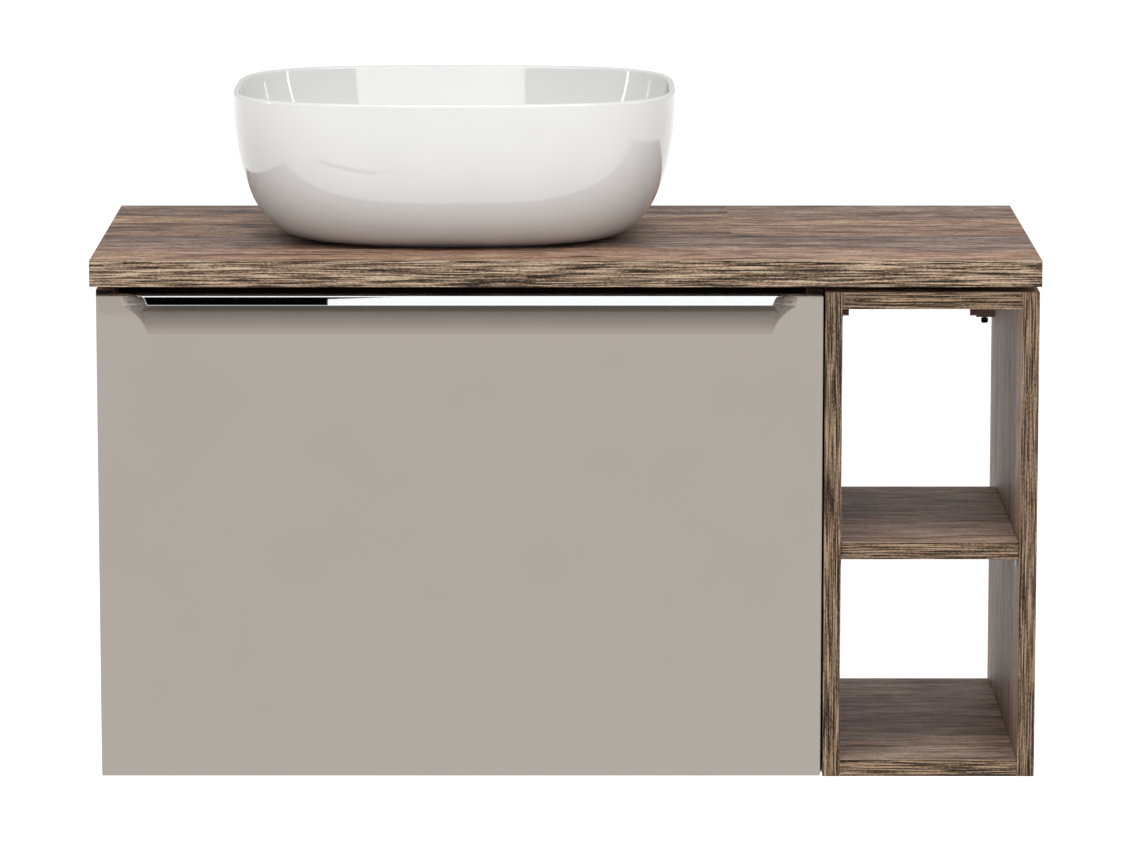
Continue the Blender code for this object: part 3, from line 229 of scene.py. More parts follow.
# %% Helpers for pieces
def make(name, shape, finish, body, replaced=(), smooth=True):
    """Turns a bmesh into a piece that rides on a body and stands for the given nodes."""
    bmesh.ops.recalc_face_normals(shape, faces=shape.faces)
    mesh = bpy.data.meshes.new(name)
    shape.to_mesh(mesh)
    shape.free()
    mesh.materials.append(finish)
    mesh.polygons.foreach_set("use_smooth", [smooth] * len(mesh.polygons))
    piece = bpy.data.objects.new(name, mesh)
    bpy.context.scene.collection.objects.link(piece)
    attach(piece, body)
    if replaced:
        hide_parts(*replaced)
    return piece


def soften(piece, width, segments=2, angle=30):
    """Rounds a piece's hard edges by a width in mm, and keeps its faces flat."""
    weld = piece.modifiers.new("weld", 'WELD')
    weld.merge_threshold = 0.005 * MM
    edge = piece.modifiers.new("edge", 'BEVEL')
    edge.width, edge.segments = width * MM, segments
    edge.limit_method, edge.angle_limit = 'ANGLE', math.radians(angle)
    edge.use_clamp_overlap = True
    flat = piece.modifiers.new("flat", 'WEIGHTED_NORMAL')
    flat.keep_sharp = False
    return piece


def keep(name, finish, width=0.5, segments=2):
    """Keeps a frame node as it is, with a real finish and softened edges."""
    node = nodes[name]
    node.data.materials.clear()
    node.data.materials.append(finish)
    node.data.polygons.foreach_set("use_smooth", [True] * len(node.data.polygons))
    if width:
        soften(node, width, segments)
    return node


def skin(rings, closed=False, caps=False):
    """Joins rings of points, each as long as the next, into one surface."""
    shape = bmesh.new()
    made = [[shape.verts.new(point) for point in ring] for ring in rings]
    pairs = list(zip(made, made[1:])) + ([(made[-1], made[0])] if closed else [])
    count = len(rings[0])
    for one, other in pairs:
        for i in range(count):
            j = (i + 1) % count
            shape.faces.new((one[i], one[j], other[j], other[i]))
    if caps:
        shape.faces.new(made[0])
        shape.faces.new(made[-1])
    return shape


NO_AREA = 1e-14


def spin(section, centre, axis='Z', steps=96, flutes=None):
    """Turns a closed half section of (radius, height) points round an axis through centre.

    flutes is (count, depth, radius): points beyond that radius are cut in between the ribs.
    """
    rings = []
    for radius, height in section:
        ring = []
        for i in range(steps):
            turn = 2 * math.pi * i / steps
            reach = radius
            if flutes and radius > flutes[2]:
                reach -= flutes[1] * (0.5 - 0.5 * math.cos(flutes[0] * turn)) ** 2
            c, s = reach * math.cos(turn), reach * math.sin(turn)
            ring.append(Vector(centre) + Vector((c, s, height) if axis == 'Z' else (c, height, s)))
        rings.append(ring)
    shape = skin(rings, closed=True)
    bmesh.ops.remove_doubles(shape, verts=shape.verts, dist=0.001 * MM)
    flat = [face for face in shape.faces if face.calc_area() < NO_AREA]
    bmesh.ops.delete(shape, geom=flat, context='FACES')
    return shape


# %% [markdown]
# ## Driftwood decor
# The boards are chipboard faced with melamine paper, printed as rows of weathered planks. The
# print is matt, so it shows no clear reflection. It could be one image, but noise nodes give it
# at any size: each layer is a noise stretched along the grain, from broad rows to fine fibres.
# The front edges are a plastic edging, embossed much more deeply, with straight dark grooves and
# pale ridges a few millimetres apart.

# %% Layers of grain
def grain(tree, spot, axis, length, width, detail=2.0):
    """Noise whose features are about that many mm along and across the grain."""
    stretch = add(tree, "Mapping", {"Vector": spot, "Scale": per_metre(*along(axis, length, width))})
    return add(tree, "TexNoise", {"Vector": stretch.outputs[0], "Scale": 1.0, "Detail": detail,
                                  "Roughness": 0.6}).outputs["Fac"]


def wander(tree, spot, axis, length, width, reach):
    """The same place, moved sideways up to about reach mm, so that a grain bends as it runs."""
    stretch = add(tree, "Mapping", {"Vector": spot, "Scale": per_metre(*along(axis, length, width))})
    bend = add(tree, "TexNoise", {"Vector": stretch.outputs[0], "Scale": 1.0, "Detail": 1.0})
    middle = (0.5, 0.5, 0.5)
    shift = add(tree, "VectorMath", {0: bend.outputs["Color"], 1: middle}, operation='SUBTRACT')
    push = add(tree, "VectorMath", {0: shift.outputs[0], "Scale": 2 * reach * MM}, operation='SCALE')
    return add(tree, "VectorMath", {0: spot, 1: push.outputs[0]}, operation='ADD').outputs[0]


def stain(tree, colour, layer, stops, share=1.0):
    """Darkens a colour by the colours of the stops, which a layer runs through."""
    ramp = add(tree, "ValToRGB", {"Fac": layer}, stops=stops)
    return add(tree, "Mix", {0: share, 6: colour, 7: ramp.outputs["Color"]}, data_type='RGBA',
               blend_type='MULTIPLY').outputs[2]


# %% Rows of planks
ROW_SWAY = 0.12


def plank_rows(tree, spot, bent, axis, rows):
    """Base colour of planks that lie in rows across the depth, and the place their print is read at.

    Beyond the butt joint, the planks behind the seam are others.
    """
    split = add(tree, "SeparateXYZ", {"Vector": spot})
    past = add(tree, "Math", {0: split.outputs["X"], 1: rows["joint"]}, operation='GREATER_THAN')
    behind = add(tree, "Math", {0: split.outputs["Y"], 1: rows["seam"]}, operation='GREATER_THAN')
    both = add(tree, "Math", {0: past.outputs[0], 1: behind.outputs[0]}, operation='MULTIPLY')
    other = both.outputs[0]
    jump = add(tree, "CombineXYZ", {"X": other, "Z": other})
    bent = add(tree, "VectorMath", {0: bent, 1: jump.outputs[0]}, operation='ADD').outputs[0]
    depth = add(tree, "MapRange", {"Value": split.outputs["Y"], "From Min": 0.0,
                                   "From Max": -rows["depth"]})
    sway = add(tree, "Math", {0: grain(tree, bent, axis, 260, 40), 1: ROW_SWAY, 2: -ROW_SWAY / 2},
               operation='MULTIPLY_ADD')
    place = add(tree, "Math", {0: sway.outputs[0], 1: depth.outputs[0]}, operation='ADD').outputs[0]
    near, far = (add(tree, "ValToRGB", {"Fac": place}, stops=rows[side]) for side in ("near", "far"))
    base = add(tree, "Mix", {0: other, 6: near.outputs["Color"], 7: far.outputs["Color"]},
               data_type='RGBA')
    return base.outputs[2], bent


# %% Printed face
def printed_face(tree, spot, axis, rows, scale, stretch):
    """Colour of the print: its base, then dark flames, streaks, fibres and open pores."""
    bent = wander(tree, spot, axis, 240, 60, 8 * scale)
    if rows:
        base, bent = plank_rows(tree, spot, bent, axis, rows)
    else:
        broad = grain(tree, bent, axis, 420, 34)
        base = add(tree, "ValToRGB", {"Fac": broad}, stops=[
            (0.34, "#BEAEA4"), (0.46, "#CDBCB0"), (0.54, "#DFC5B1"), (0.66, "#CBBAB0")]).outputs["Color"]
    flame = grain(tree, bent, axis, 120 * stretch, 13 * scale, 3.0)
    streak = grain(tree, bent, axis, 55 * stretch, 6 * scale, 3.0)
    fibre = grain(tree, bent, axis, 24 * stretch, 2.6 * scale)
    pore = grain(tree, spot, axis, 5, 2.6 * scale)
    colour = stain(tree, base, flame,
                   [(0.30, "#8A786B"), (0.42, "#C6B8AE"), (0.52, "#EDE6E0"), (0.70, "#FFFFFF")])
    colour = stain(tree, colour, streak, [(0.30, "#8C7C70"), (0.43, "#D9CFC7"), (0.55, "#FFFFFF")], 0.8)
    colour = stain(tree, colour, fibre, [(0.34, "#B9AEA6"), (0.60, "#FFFFFF")], 0.8)
    colour = stain(tree, colour, pore, [(0.30, "#A89C93"), (0.52, "#FFFFFF")], 0.8)
    for x, y, length, width in (rows or {}).get("knots", ()):
        away = add(tree, "VectorMath", {0: bent, 1: (x, y, 0)}, operation='SUBTRACT')
        oval = add(tree, "VectorMath", {0: away.outputs[0], 1: (1 / (length * MM), 1 / (width * MM), 0)},
                   operation='MULTIPLY')
        far_off = add(tree, "VectorMath", {0: oval.outputs[0]}, operation='LENGTH')
        colour = stain(tree, colour, far_off.outputs["Value"],
                       [(0.15, "#54433A"), (0.5, "#A3948A"), (1.0, "#FFFFFF")])
    return colour, fibre


# %% Embossed edging
GROOVE_SHARE, PORE_SHARE, SWELL_SHARE = 0.64, 0.26, 0.10
RIDGE_STOPS = (0.39, 0.44, 0.48, 0.52, 0.60)


def embossed_edging(tree, spot, axis, codes):
    """Colour and height of the edging: fine straight grooves, broken up by coarse pores."""
    bent = wander(tree, spot, axis, 160, 30, 1.6)
    groove = grain(tree, bent, axis, 60, 1.0, 1.0)
    pore = grain(tree, bent, axis, 3.6, 1.0, 2.0)
    swell = grain(tree, bent, axis, 110, 9, 1.0)
    lines = add(tree, "Math", {0: groove, 1: GROOVE_SHARE}, operation='MULTIPLY')
    for layer, share in ((pore, PORE_SHARE), (swell, SWELL_SHARE)):
        lines = add(tree, "Math", {0: layer, 1: share, 2: lines.outputs[0]}, operation='MULTIPLY_ADD')
    ridge = add(tree, "ValToRGB", {"Fac": lines.outputs[0]}, stops=list(zip(RIDGE_STOPS, codes)))
    return ridge.outputs["Color"], lines.outputs[0]


# %% Wood finish
PALE_EDGING = ("#150C06", "#362617", "#63503E", "#836C57", "#C2AB93")
DARK_EDGING = ("#120903", "#2E1F13", "#54412F", "#735D48", "#A88F75")
# The near-black edging is painted shadow. It goes on front faces in the shaded gap under the worktop,
# over the drawer front.
SHADOW_PAINTED_EDGING = ("#060403", "#0D0906", "#17100B", "#211911", "#30251C")


def driftwood(name, axis, rows=None, scale=1.0, edging=None, stretch=1.0):
    """Weathered wood decor with its grain along an axis; faces to the front get the edging.

    scale widens the print's figure across the grain, and stretch lengthens it along the grain.
    """
    finish, tree, shader = new_finish(name, Specular_IOR_Level=0.25)
    where = add(tree, "TexCoord")
    colour, height = printed_face(tree, where.outputs["Object"], axis, rows, scale, stretch)
    if edging:
        deep, lines = embossed_edging(tree, where.outputs["Object"], axis, edging)
        facing = add(tree, "SeparateXYZ", {"Vector": where.outputs["Normal"]})
        front = add(tree, "Math", {0: facing.outputs["Y"], 1: -0.7}, operation='LESS_THAN').outputs[0]
        colour = add(tree, "Mix", {0: front, 6: colour, 7: deep}, data_type='RGBA').outputs[2]
        height = add(tree, "Mix", {0: front, 2: height, 3: lines}).outputs[0]
    relief = add(tree, "Bump", {"Height": height, "Strength": 0.4, "Distance": 0.25 * MM})
    sheen = add(tree, "MapRange", {"Value": height, "From Min": 0.3, "From Max": 0.7,
                                   "To Min": 0.62, "To Max": 0.48})
    tree.links.new(colour, shader.inputs["Base Color"])
    tree.links.new(relief.outputs[0], shader.inputs["Normal"])
    tree.links.new(sheen.outputs[0], shader.inputs["Roughness"])
    return finish


# %% Wood boards
# The worktop's rows are read from the back edge, 0, to the front edge, 1. A knot is its place
# along and across the top in metres, then its half length and half width in mm.
GREY, TAN, PINK, BROWN, JOINT = "#A8958A", "#CBAD94", "#C3A592", "#B39783", "#7C675A"
WORKTOP_ROWS = {
    "joint": 0.180, "seam": -0.240, "depth": worktop_high.y - worktop_low.y,
    "near": [(0.00, GREY), (0.16, GREY), (0.20, TAN), (0.34, TAN), (0.36, JOINT), (0.38, BROWN),
             (0.57, BROWN), (0.59, JOINT), (0.61, GREY), (0.78, GREY), (0.81, PINK), (0.90, PINK),
             (0.93, TAN)],
    "far": [(0.00, GREY), (0.27, BROWN), (0.30, TAN), (0.35, TAN), (0.37, JOINT), (0.39, BROWN),
            (0.60, BROWN)],
    "knots": [(-0.347, -0.190, 16, 9), (0.196, -0.262, 30, 14), (0.020, -0.425, 24, 10),
              (0.410, -0.120, 22, 9)]}
PLANK_SCALE, PANEL_STRETCH = 1.7, 2.5
worktop_decor = driftwood("melamine_driftwood_worktop", 'X', WORKTOP_ROWS, PLANK_SCALE)
edge_decor = driftwood("embossed_driftwood_edging", 'X', edging=PALE_EDGING)
shelf_decor = driftwood("melamine_driftwood_shelf", 'X', edging=DARK_EDGING)
rail_decor_shadow_edged = driftwood("melamine_driftwood_rail_shadow_edged", 'X', edging=SHADOW_PAINTED_EDGING)
panel_decor = driftwood("melamine_driftwood_panel", 'Z', edging=DARK_EDGING, stretch=PANEL_STRETCH)
carcass_decor_shadow_edged = driftwood("melamine_driftwood_carcass_shadow_edged", 'Z', edging=SHADOW_PAINTED_EDGING, stretch=PANEL_STRETCH)

keep("worktop", worktop_decor, 0.6)
keep("worktop_front_edging", edge_decor, 0.6)
# The drawer unit's front edges, its rails and bottom, and the worktop spacers get a near-black edging on
# their front faces. This is painted shadow, so the gap over the drawer front reads dark.
boards = [
    (shelf_decor, ("shelf_unit_top", "shelf_unit_bottom", "middle_shelf")),
    (panel_decor, ("shelf_unit_side_left", "shelf_unit_side_right")),
    (carcass_decor_shadow_edged, ("drawer_unit_side_left", "drawer_unit_side_right")),
    (rail_decor_shadow_edged, ("drawer_unit_bottom", "drawer_unit_front_rail", "drawer_unit_upper_back_rail",
                  "drawer_unit_lower_back_rail", "worktop_spacer_left", "worktop_spacer_middle",
                  "worktop_spacer_right"))]
for decor, names in boards:
    for name in names:
        keep(name, decor)
print("boards and spacers:", sum(len(names) for decor, names in boards))

# %% [markdown]
# ## The basin
# Vitreous china is cast in a plaster mould, glazed and fired. The glaze is glassy, so it is smooth
# and bright with sharp highlights, and only very slightly uneven. The bowl is skinned from level
# rings: each ring is a superellipse, which lies between an ellipse and a rectangle.

# %% Glaze
china, tree, shader = new_finish("glazed_vitreous_china", Roughness=0.05, IOR=1.52,
                                 Coat_Weight=0.5, Coat_Roughness=0.02)
where = add(tree, "TexCoord")
pool = speckle(tree, where.outputs["Object"], 60, 2.0)
glaze = add(tree, "ValToRGB", {"Fac": pool}, stops=[(0.3, "#CECECD"), (0.7, "#D1D1D0")])
ripple = add(tree, "Bump", {"Height": pool, "Strength": 0.25, "Distance": 0.15 * MM})
tree.links.new(glaze.outputs["Color"], shader.inputs["Base Color"])
tree.links.new(ripple.outputs[0], shader.inputs["Normal"])

# %% Basin shape
WALL, FLOOR_RISE, FLOOR_FALL, LEAN = 7 * MM, 24 * MM, 10 * MM, 16 * MM
TUCK_SIDE, TUCK_FRONT, SQUARE, BELLY = 76 * MM, 60 * MM, 3.4, 2.2
FOOT_RING, FOOT_SLOPE, FOOT_RECESS, SEAT_DEEP = 12 * MM, 4 * MM, 8 * MM, 3 * MM
SEAT, DRAIN = 34.5 * MM, 22.8 * MM
ELLIPSE, FOOT_ROUNDER, FLOOR_ROUNDER, DISH = 2, 0.5, 0.6, 1.5
RING_POINTS, OUTER_STEPS, RIM_STEPS, INNER_STEPS, FLOOR_STEPS = 176, 40, 16, 36, 10
basin_size = basin_high - basin_low
bowl_x, bowl_y = basin_middle.x, basin_middle.y


def level_ring(half_x, half_y, square, height):
    """A level superellipse round the basin's middle."""
    ring = []
    for i in range(RING_POINTS):
        turn = 2 * math.pi * (i + 0.5) / RING_POINTS
        c, s = math.cos(turn), math.sin(turn)
        ring.append((bowl_x + half_x * math.copysign(abs(c) ** (2 / square), c),
                     bowl_y + half_y * math.copysign(abs(s) ** (2 / square), s), basin_low.z + height))
    return ring


def bowl_ring(inset, curl, height, square=SQUARE):
    """A ring inset from the rim, and a share curl of the way in to the foot."""
    return level_ring(basin_size.x / 2 - inset - curl * TUCK_SIDE,
                      basin_size.y / 2 - inset - curl * TUCK_FRONT, square, height)


def wall_curve(steps):
    """(drop, curl) down a wall that starts upright and rounds in to the foot."""
    for i in range(1, steps + 1):
        drop = math.sin(math.pi / 2 * i / steps) ** (2 / BELLY)
        yield drop, 1 - (1 - min(drop, 1) ** BELLY) ** (1 / BELLY)


top = basin_size.z - WALL / 2
bowl_fall = top - FLOOR_RISE - FLOOR_FALL
foot_square, floor_square = SQUARE - FOOT_ROUNDER, SQUARE - FLOOR_ROUNDER
# Under the foot, then up the outer wall.
rings = [level_ring(DRAIN, DRAIN, ELLIPSE, FOOT_RECESS),
         bowl_ring(FOOT_RING + FOOT_SLOPE, 1, FOOT_RECESS, foot_square),
         bowl_ring(FOOT_RING, 1, 0, foot_square)]
rings += [bowl_ring(0, curl, top * (1 - drop), SQUARE - FOOT_ROUNDER * curl)
          for drop, curl in reversed(list(wall_curve(OUTER_STEPS)))]
# Over the round rim, then down the inner wall.
for i in range(RIM_STEPS + 1):
    turn = math.pi * i / RIM_STEPS
    rings.append(bowl_ring(WALL / 2 * (1 - math.cos(turn)), 0,
                           basin_size.z - WALL / 2 * (1 - math.sin(turn))))
rings += [bowl_ring(WALL + LEAN * drop, curl, top - bowl_fall * drop, SQUARE - FLOOR_ROUNDER * curl)
          for drop, curl in wall_curve(INNER_STEPS)]
# Across the dished floor to the drain's seat.
edge_x = basin_size.x / 2 - WALL - LEAN - TUCK_SIDE
edge_y = basin_size.y / 2 - WALL - LEAN - TUCK_FRONT
for i in range(1, FLOOR_STEPS + 1):
    share = 1 - i / FLOOR_STEPS
    rings.append(level_ring(SEAT + (edge_x - SEAT) * share, SEAT + (edge_y - SEAT) * share,
                            ELLIPSE + (floor_square - ELLIPSE) * share ** 2,
                            FLOOR_RISE + FLOOR_FALL * share ** DISH))
rings += [level_ring(radius, radius, ELLIPSE, FLOOR_RISE - SEAT_DEEP) for radius in (SEAT, DRAIN)]
basin = make("vessel_basin", skin(rings, closed=True), china, "cabinet", ["basin"])
soften(basin, 0.8, 3, 40)
window_only.objects.link(basin)
print("basin rings:", len(rings))

# %% [markdown]
# ## The drawer front
# An MDF board wrapped in high-gloss foil. Its hand recess is milled as a shallow arc that starts
# flat in the face, gets steeper up to the chrome strip and eases out into the face at each end.
# The recess is cut with a finely stepped solid, and the outer edges are rounded before that.

# %% Foil finish
foil, tree, shader = new_finish("high_gloss_taupe_foil", Roughness=0.10, IOR=1.5,
                                Coat_Weight=0.4, Coat_Roughness=0.04)
where = add(tree, "TexCoord")
peel = speckle(tree, where.outputs["Object"], 5, 2.0)
cloud = speckle(tree, where.outputs["Object"], 90, 1.0)
tint = add(tree, "ValToRGB", {"Fac": cloud}, stops=[(0.3, "#9F978E"), (0.7, "#A19990")])
# Where the recess faces up a little, the foil colour is darkened: this is painted shade for the recess
# under the strip.
facing = add(tree, "SeparateXYZ", {"Vector": where.outputs["Normal"]})
recess_painted_shade = stain(tree, tint.outputs["Color"], facing.outputs["Z"], [
    (0.08, "#FFFFFF"), (0.28, "#D4D1CE"), (0.42, "#B7B3AF"), (0.60, "#BDBAB6"), (0.75, "#FFFFFF")])
orange_peel = add(tree, "Bump", {"Height": peel, "Strength": 0.12, "Distance": 0.05 * MM})
tree.links.new(recess_painted_shade, shader.inputs["Base Color"])
tree.links.new(orange_peel.outputs[0], shader.inputs["Normal"])

# %% Drawer front shape
STRIP_FLARE, STRIP_SLOPE, STRIP_THICK = 18 * MM, 4.3 * MM, 1.6 * MM
COVE_HIGH, COVE_DEEP, COVE_ENTRY, COVE_START = 31 * MM, 12.5 * MM, math.radians(5), 0.02
COVE_STEPS, END_STEPS, END_STRETCH, EDGE_ROUND = 28, 24, 2.2, 1.4 * MM
SLACK, PAST = 0.3 * MM, 10 * MM
front_low, front_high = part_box("drawer_front")
front_middle = (front_low.x + front_high.x) / 2
strip_half = (strip_high.x - strip_low.x) / 2 - STRIP_FLARE


def carve(piece, shape, operation='DIFFERENCE'):
    """Cuts a solid out of a piece for good, or joins it on."""
    mesh = bpy.data.meshes.new("cutter")
    bmesh.ops.recalc_face_normals(shape, faces=shape.faces)
    shape.to_mesh(mesh)
    shape.free()
    tool = bpy.data.objects.new("cutter", mesh)
    bpy.context.scene.collection.objects.link(tool)
    change = piece.modifiers.new("cut", 'BOOLEAN')
    change.object, change.operation = tool, operation
    old = piece.data
    result = piece.evaluated_get(bpy.context.evaluated_depsgraph_get())
    piece.data = bpy.data.meshes.new_from_object(result)
    piece.data.name = piece.name
    piece.modifiers.remove(change)
    bpy.data.objects.remove(tool)
    bpy.data.meshes.remove(old)


def block(low, high, rounding=0.0, segments=3):
    """A box between two corners, with rounded edges if asked."""
    shape = bmesh.new()
    bmesh.ops.create_cube(shape, size=1)
    low, high = Vector(low), Vector(high)
    fit = Matrix.Translation((low + high) / 2) @ Matrix.Diagonal((*(high - low), 1))
    bmesh.ops.transform(shape, verts=shape.verts, matrix=fit)
    if rounding:
        bmesh.ops.bevel(shape, geom=shape.edges[:], offset=rounding, segments=segments, profile=0.5,
                        affect='EDGES')
    return shape


def cove_outline(height, depth):
    """A level outline of the recess, open past the face, whose ends ease out of the face and in."""
    half = strip_half - STRIP_SLOPE
    side = [(half + END_STRETCH * depth, front_low.y - PAST)]
    for i in range(END_STEPS + 1):
        share = 1 - i / END_STEPS
        side.append((half + END_STRETCH * depth * share,
                     front_low.y + depth * (1 + math.cos(math.pi * share)) / 2))
    return [(front_middle + x, y, height) for x, y in side + [(-x, y) for x, y in reversed(side)]]


exit_angle = 2 * math.atan(COVE_DEEP / COVE_HIGH) - COVE_ENTRY
cove_radius = COVE_HIGH / (math.sin(exit_angle) - math.sin(COVE_ENTRY))
cove_foot = strip_low.z - COVE_HIGH
outlines = []
for i in range(COVE_STEPS + 1):
    share = COVE_START + (1 - COVE_START) * i / COVE_STEPS
    slope = COVE_ENTRY + (exit_angle - COVE_ENTRY) * share
    outlines.append(cove_outline(cove_foot + cove_radius * (math.sin(slope) - math.sin(COVE_ENTRY)),
                                 cove_radius * (math.cos(COVE_ENTRY) - math.cos(slope))))
outlines.append(cove_outline(front_high.z + PAST, COVE_DEEP))
drawer_front = make("gloss_drawer_front", block(front_low, front_high, EDGE_ROUND, 4), foil, "drawer",
                    ["drawer_front"])
carve(drawer_front, skin(outlines, caps=True))

# The strip's flange lies in a seat in the top edge, a little wider at the back.
seat_front, seat_back = strip_low.y - 4 * SLACK, strip_high.y + SLACK
narrow, wide = strip_half + SLACK, strip_half + STRIP_FLARE + SLACK
seat = [(-narrow, seat_front), (narrow, seat_front), (wide, seat_back), (-wide, seat_back)]
seat_levels = (front_high.z - STRIP_THICK - SLACK, front_high.z + PAST)
carve(drawer_front, skin([[(front_middle + x, y, z) for x, y in seat] for z in seat_levels], caps=True))
drawer_front.modifiers.new("flat", 'WEIGHTED_NORMAL').keep_sharp = False
print("drawer front faces:", len(drawer_front.data.polygons))

# %% [markdown]
# ## Chrome
# The strip, the waste and the trap are chromed: a mirror with a faint blue-grey body and hardly
# any blur. Only very fine polishing haze varies its gloss.

# %% Chrome finish and strip
chrome, tree, shader = new_finish("polished_chrome_plate", Metallic=1.0)
where = add(tree, "TexCoord")
haze = speckle(tree, where.outputs["Object"], 12, 4.0)
gloss = add(tree, "MapRange", {"Value": haze, "To Min": 0.015, "To Max": 0.035})
plate = add(tree, "ValToRGB", {"Fac": haze}, stops=[(0.2, "#F0F1F2"), (0.8, "#F6F6F6")])
tree.links.new(gloss.outputs[0], shader.inputs["Roughness"])
tree.links.new(plate.outputs["Color"], shader.inputs["Base Color"])
keep("drawer_handle_strip", chrome, 0.45, 4)

# %% Plain finishes
MOTTLE_DARKER, GLOSS_SPREAD, MOTTLE_PITS = 7, 0.06, 20


def moulded(name, code, roughness, pit=0.8, depth=0.03, metallic=0.0):
    """A plastic, rubber or plated finish: one colour, slightly mottled, with pits of a size in mm."""
    finish, tree, shader = new_finish(name, Metallic=metallic)
    where = add(tree, "TexCoord")
    pits = speckle(tree, where.outputs["Object"], pit, 2.0)
    mottle = speckle(tree, where.outputs["Object"], MOTTLE_PITS * pit, 3.0)
    darker = [max(int(code[i:i + 2], 16) - MOTTLE_DARKER, 0) for i in (1, 3, 5)]
    low = "#" + "".join(f"{value:02X}" for value in darker)
    tint = add(tree, "ValToRGB", {"Fac": mottle}, stops=[(0.3, low), (0.7, code)])
    rough = add(tree, "MapRange", {"Value": mottle, "To Min": roughness - GLOSS_SPREAD,
                                   "To Max": roughness + GLOSS_SPREAD})
    bump = add(tree, "Bump", {"Height": pits, "Strength": 0.3, "Distance": depth * MM})
    tree.links.new(tint.outputs["Color"], shader.inputs["Base Color"])
    tree.links.new(rough.outputs[0], shader.inputs["Roughness"])
    tree.links.new(bump.outputs[0], shader.inputs["Normal"])
    return finish


silicone = moulded("white_silicone_bead", "#D6D4D0", 0.35)
rubber = moulded("black_epdm_rubber", "#1C1C1C", 0.75)
zinc = moulded("zinc_plated_steel", "#A9ABA8", 0.36, 0.5, 0.01, 1.0)
brown = moulded("brown_abs_cover", "#8A6A5A", 0.42)
black = moulded("black_oxide_steel", "#1E1D1C", 0.45, 0.5, 0.01, 1.0)
grey_paper = moulded("grey_foiled_chipboard", "#8B8985", 0.5)
white_plastic = moulded("white_polypropylene", "#E4E3DF", 0.38)
orange = moulded("orange_acetal", "#D0692A", 0.35)

for name, finish, width in (
        ("basin_seal", silicone, 0.2), ("waste_top_gasket", rubber, 0.2), ("waste_washer", rubber, 0.5),
        ("wall_rail", zinc, 0.3), ("drawer_bottom", grey_paper, 0.4),
        ("drawer_trap_guard", white_plastic, 0.8)):
    keep(name, finish, width)
for side in ("left", "right"):
    keep("drawer_side_" + side, grey_paper)
    keep("drawer_back_" + side, grey_paper, 0.4)
    for part in ("fixed", "middle", "drawer"):
        keep(f"runner_{part}_{side}", zinc, 0.3)
    keep("locking_clip_" + side, grey_paper, 0.6)
    keep("clip_lever_" + side, orange, 0.6)
    for unit in ("drawer", "shelf"):
        keep(f"hanger_{unit}_{side}", brown, 0.6)
        keep(f"hanger_{unit}_{side}_screw", black, 0.2)
    for place in ("front", "back"):
        keep(f"shelf_support_{place}_{side}", zinc, 0.2)

# %% [markdown]
# ## Waste and trap
# These pieces are round, so each is a half section spun round its axis: the outer line goes down,
# and the inner one comes back up. Threads are a zigzag in the section. The nuts and the cup's
# collar get ribs for the fingers. A cross bar or a side stub is not round about that axis, so it
# is joined on or cut out with a Boolean.

# %% Sections
def rounded(points, radius, steps=3):
    """A closed section whose corners are rounded by a radius in mm, but not on its axis."""
    line = []
    for i, (r, h) in enumerate(points):
        here = Vector((r, h))
        if r < 1e-6:
            line.append((r, h))
            continue
        ways = [Vector(points[i - 1]) - here, Vector(points[(i + 1) % len(points)]) - here]
        reach = min([radius * MM] + [way.length * 0.4 for way in ways])
        start, end = (here + way.normalized() * reach for way in ways)
        for k in range(steps + 1):
            t = k / steps
            line.append(tuple((1 - t) ** 2 * start + 2 * t * (1 - t) * here + t ** 2 * end))
    return line


def thread(radius, low, high, pitch=1.5, deep=0.7):
    """The outer line of a threaded tube, from high down to low."""
    turns = int((high - low) / (pitch * MM))
    step = (high - low) / turns
    return [(radius - (deep * MM if k % 2 else 0), high - step * k / 2) for k in range(2 * turns + 1)]


def quarter(steps, start=0):
    """Angles of a quarter turn in even steps, from step start to the right angle."""
    return [math.pi / 2 * k / steps for k in range(start, steps + 1)]


# %% Waste
WASTE_R, WASTE_BORE, FLANGE_THICK, MOUTH_DEEP, MOUTH_WIDE = 21.5 * MM, 19 * MM, 2.2 * MM, 3 * MM, 3 * MM
STEM_R, STEM_PLAY, GUIDE_DROP, GUIDE_HIGH, GUIDE_HALF = 4.5 * MM, 0.3 * MM, 12 * MM, 8 * MM, 8 * MM
BAR_ROOT = 1.2 * MM
waste_low, waste_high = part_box("waste_flange")
axis = ((waste_low.x + waste_high.x) / 2, (waste_low.y + waste_high.y) / 2, 0)
flange_r = (waste_high.x - waste_low.x) / 2
seat_z = waste_high.z - FLANGE_THICK
section = [(flange_r - 0.4 * MM, waste_high.z), (flange_r, waste_high.z - 0.5 * MM),
           (flange_r, seat_z + 0.2 * MM), (flange_r - 0.2 * MM, seat_z), (WASTE_R, seat_z)]
section += thread(WASTE_R, waste_low.z, worktop_low.z)
section += [(WASTE_BORE, waste_low.z), (WASTE_BORE, waste_high.z - MOUTH_DEEP),
            (WASTE_BORE + 1 * MM, waste_high.z - 1 * MM), (WASTE_BORE + MOUTH_WIDE, waste_high.z)]
waste = make("waste_body", spin(section, axis), chrome, "cabinet", ["waste_flange"])

# A bar across the bore guides the cap's stem.
bar_top, bar_half, hole_r = waste_high.z - GUIDE_DROP, WASTE_BORE + BAR_ROOT, STEM_R + STEM_PLAY
carve(waste, block((axis[0] - bar_half, axis[1] - GUIDE_HALF, bar_top - GUIDE_HIGH),
                   (axis[0] + bar_half, axis[1] + GUIDE_HALF, bar_top), 0.8 * MM), 'UNION')
carve(waste, spin([(0, bar_top + PAST), (hole_r, bar_top + PAST), (hole_r, bar_top - 2 * PAST),
                   (0, bar_top - 2 * PAST)], axis, steps=48))
print("waste at", tuple(round(value, 4) for value in axis[:2]))

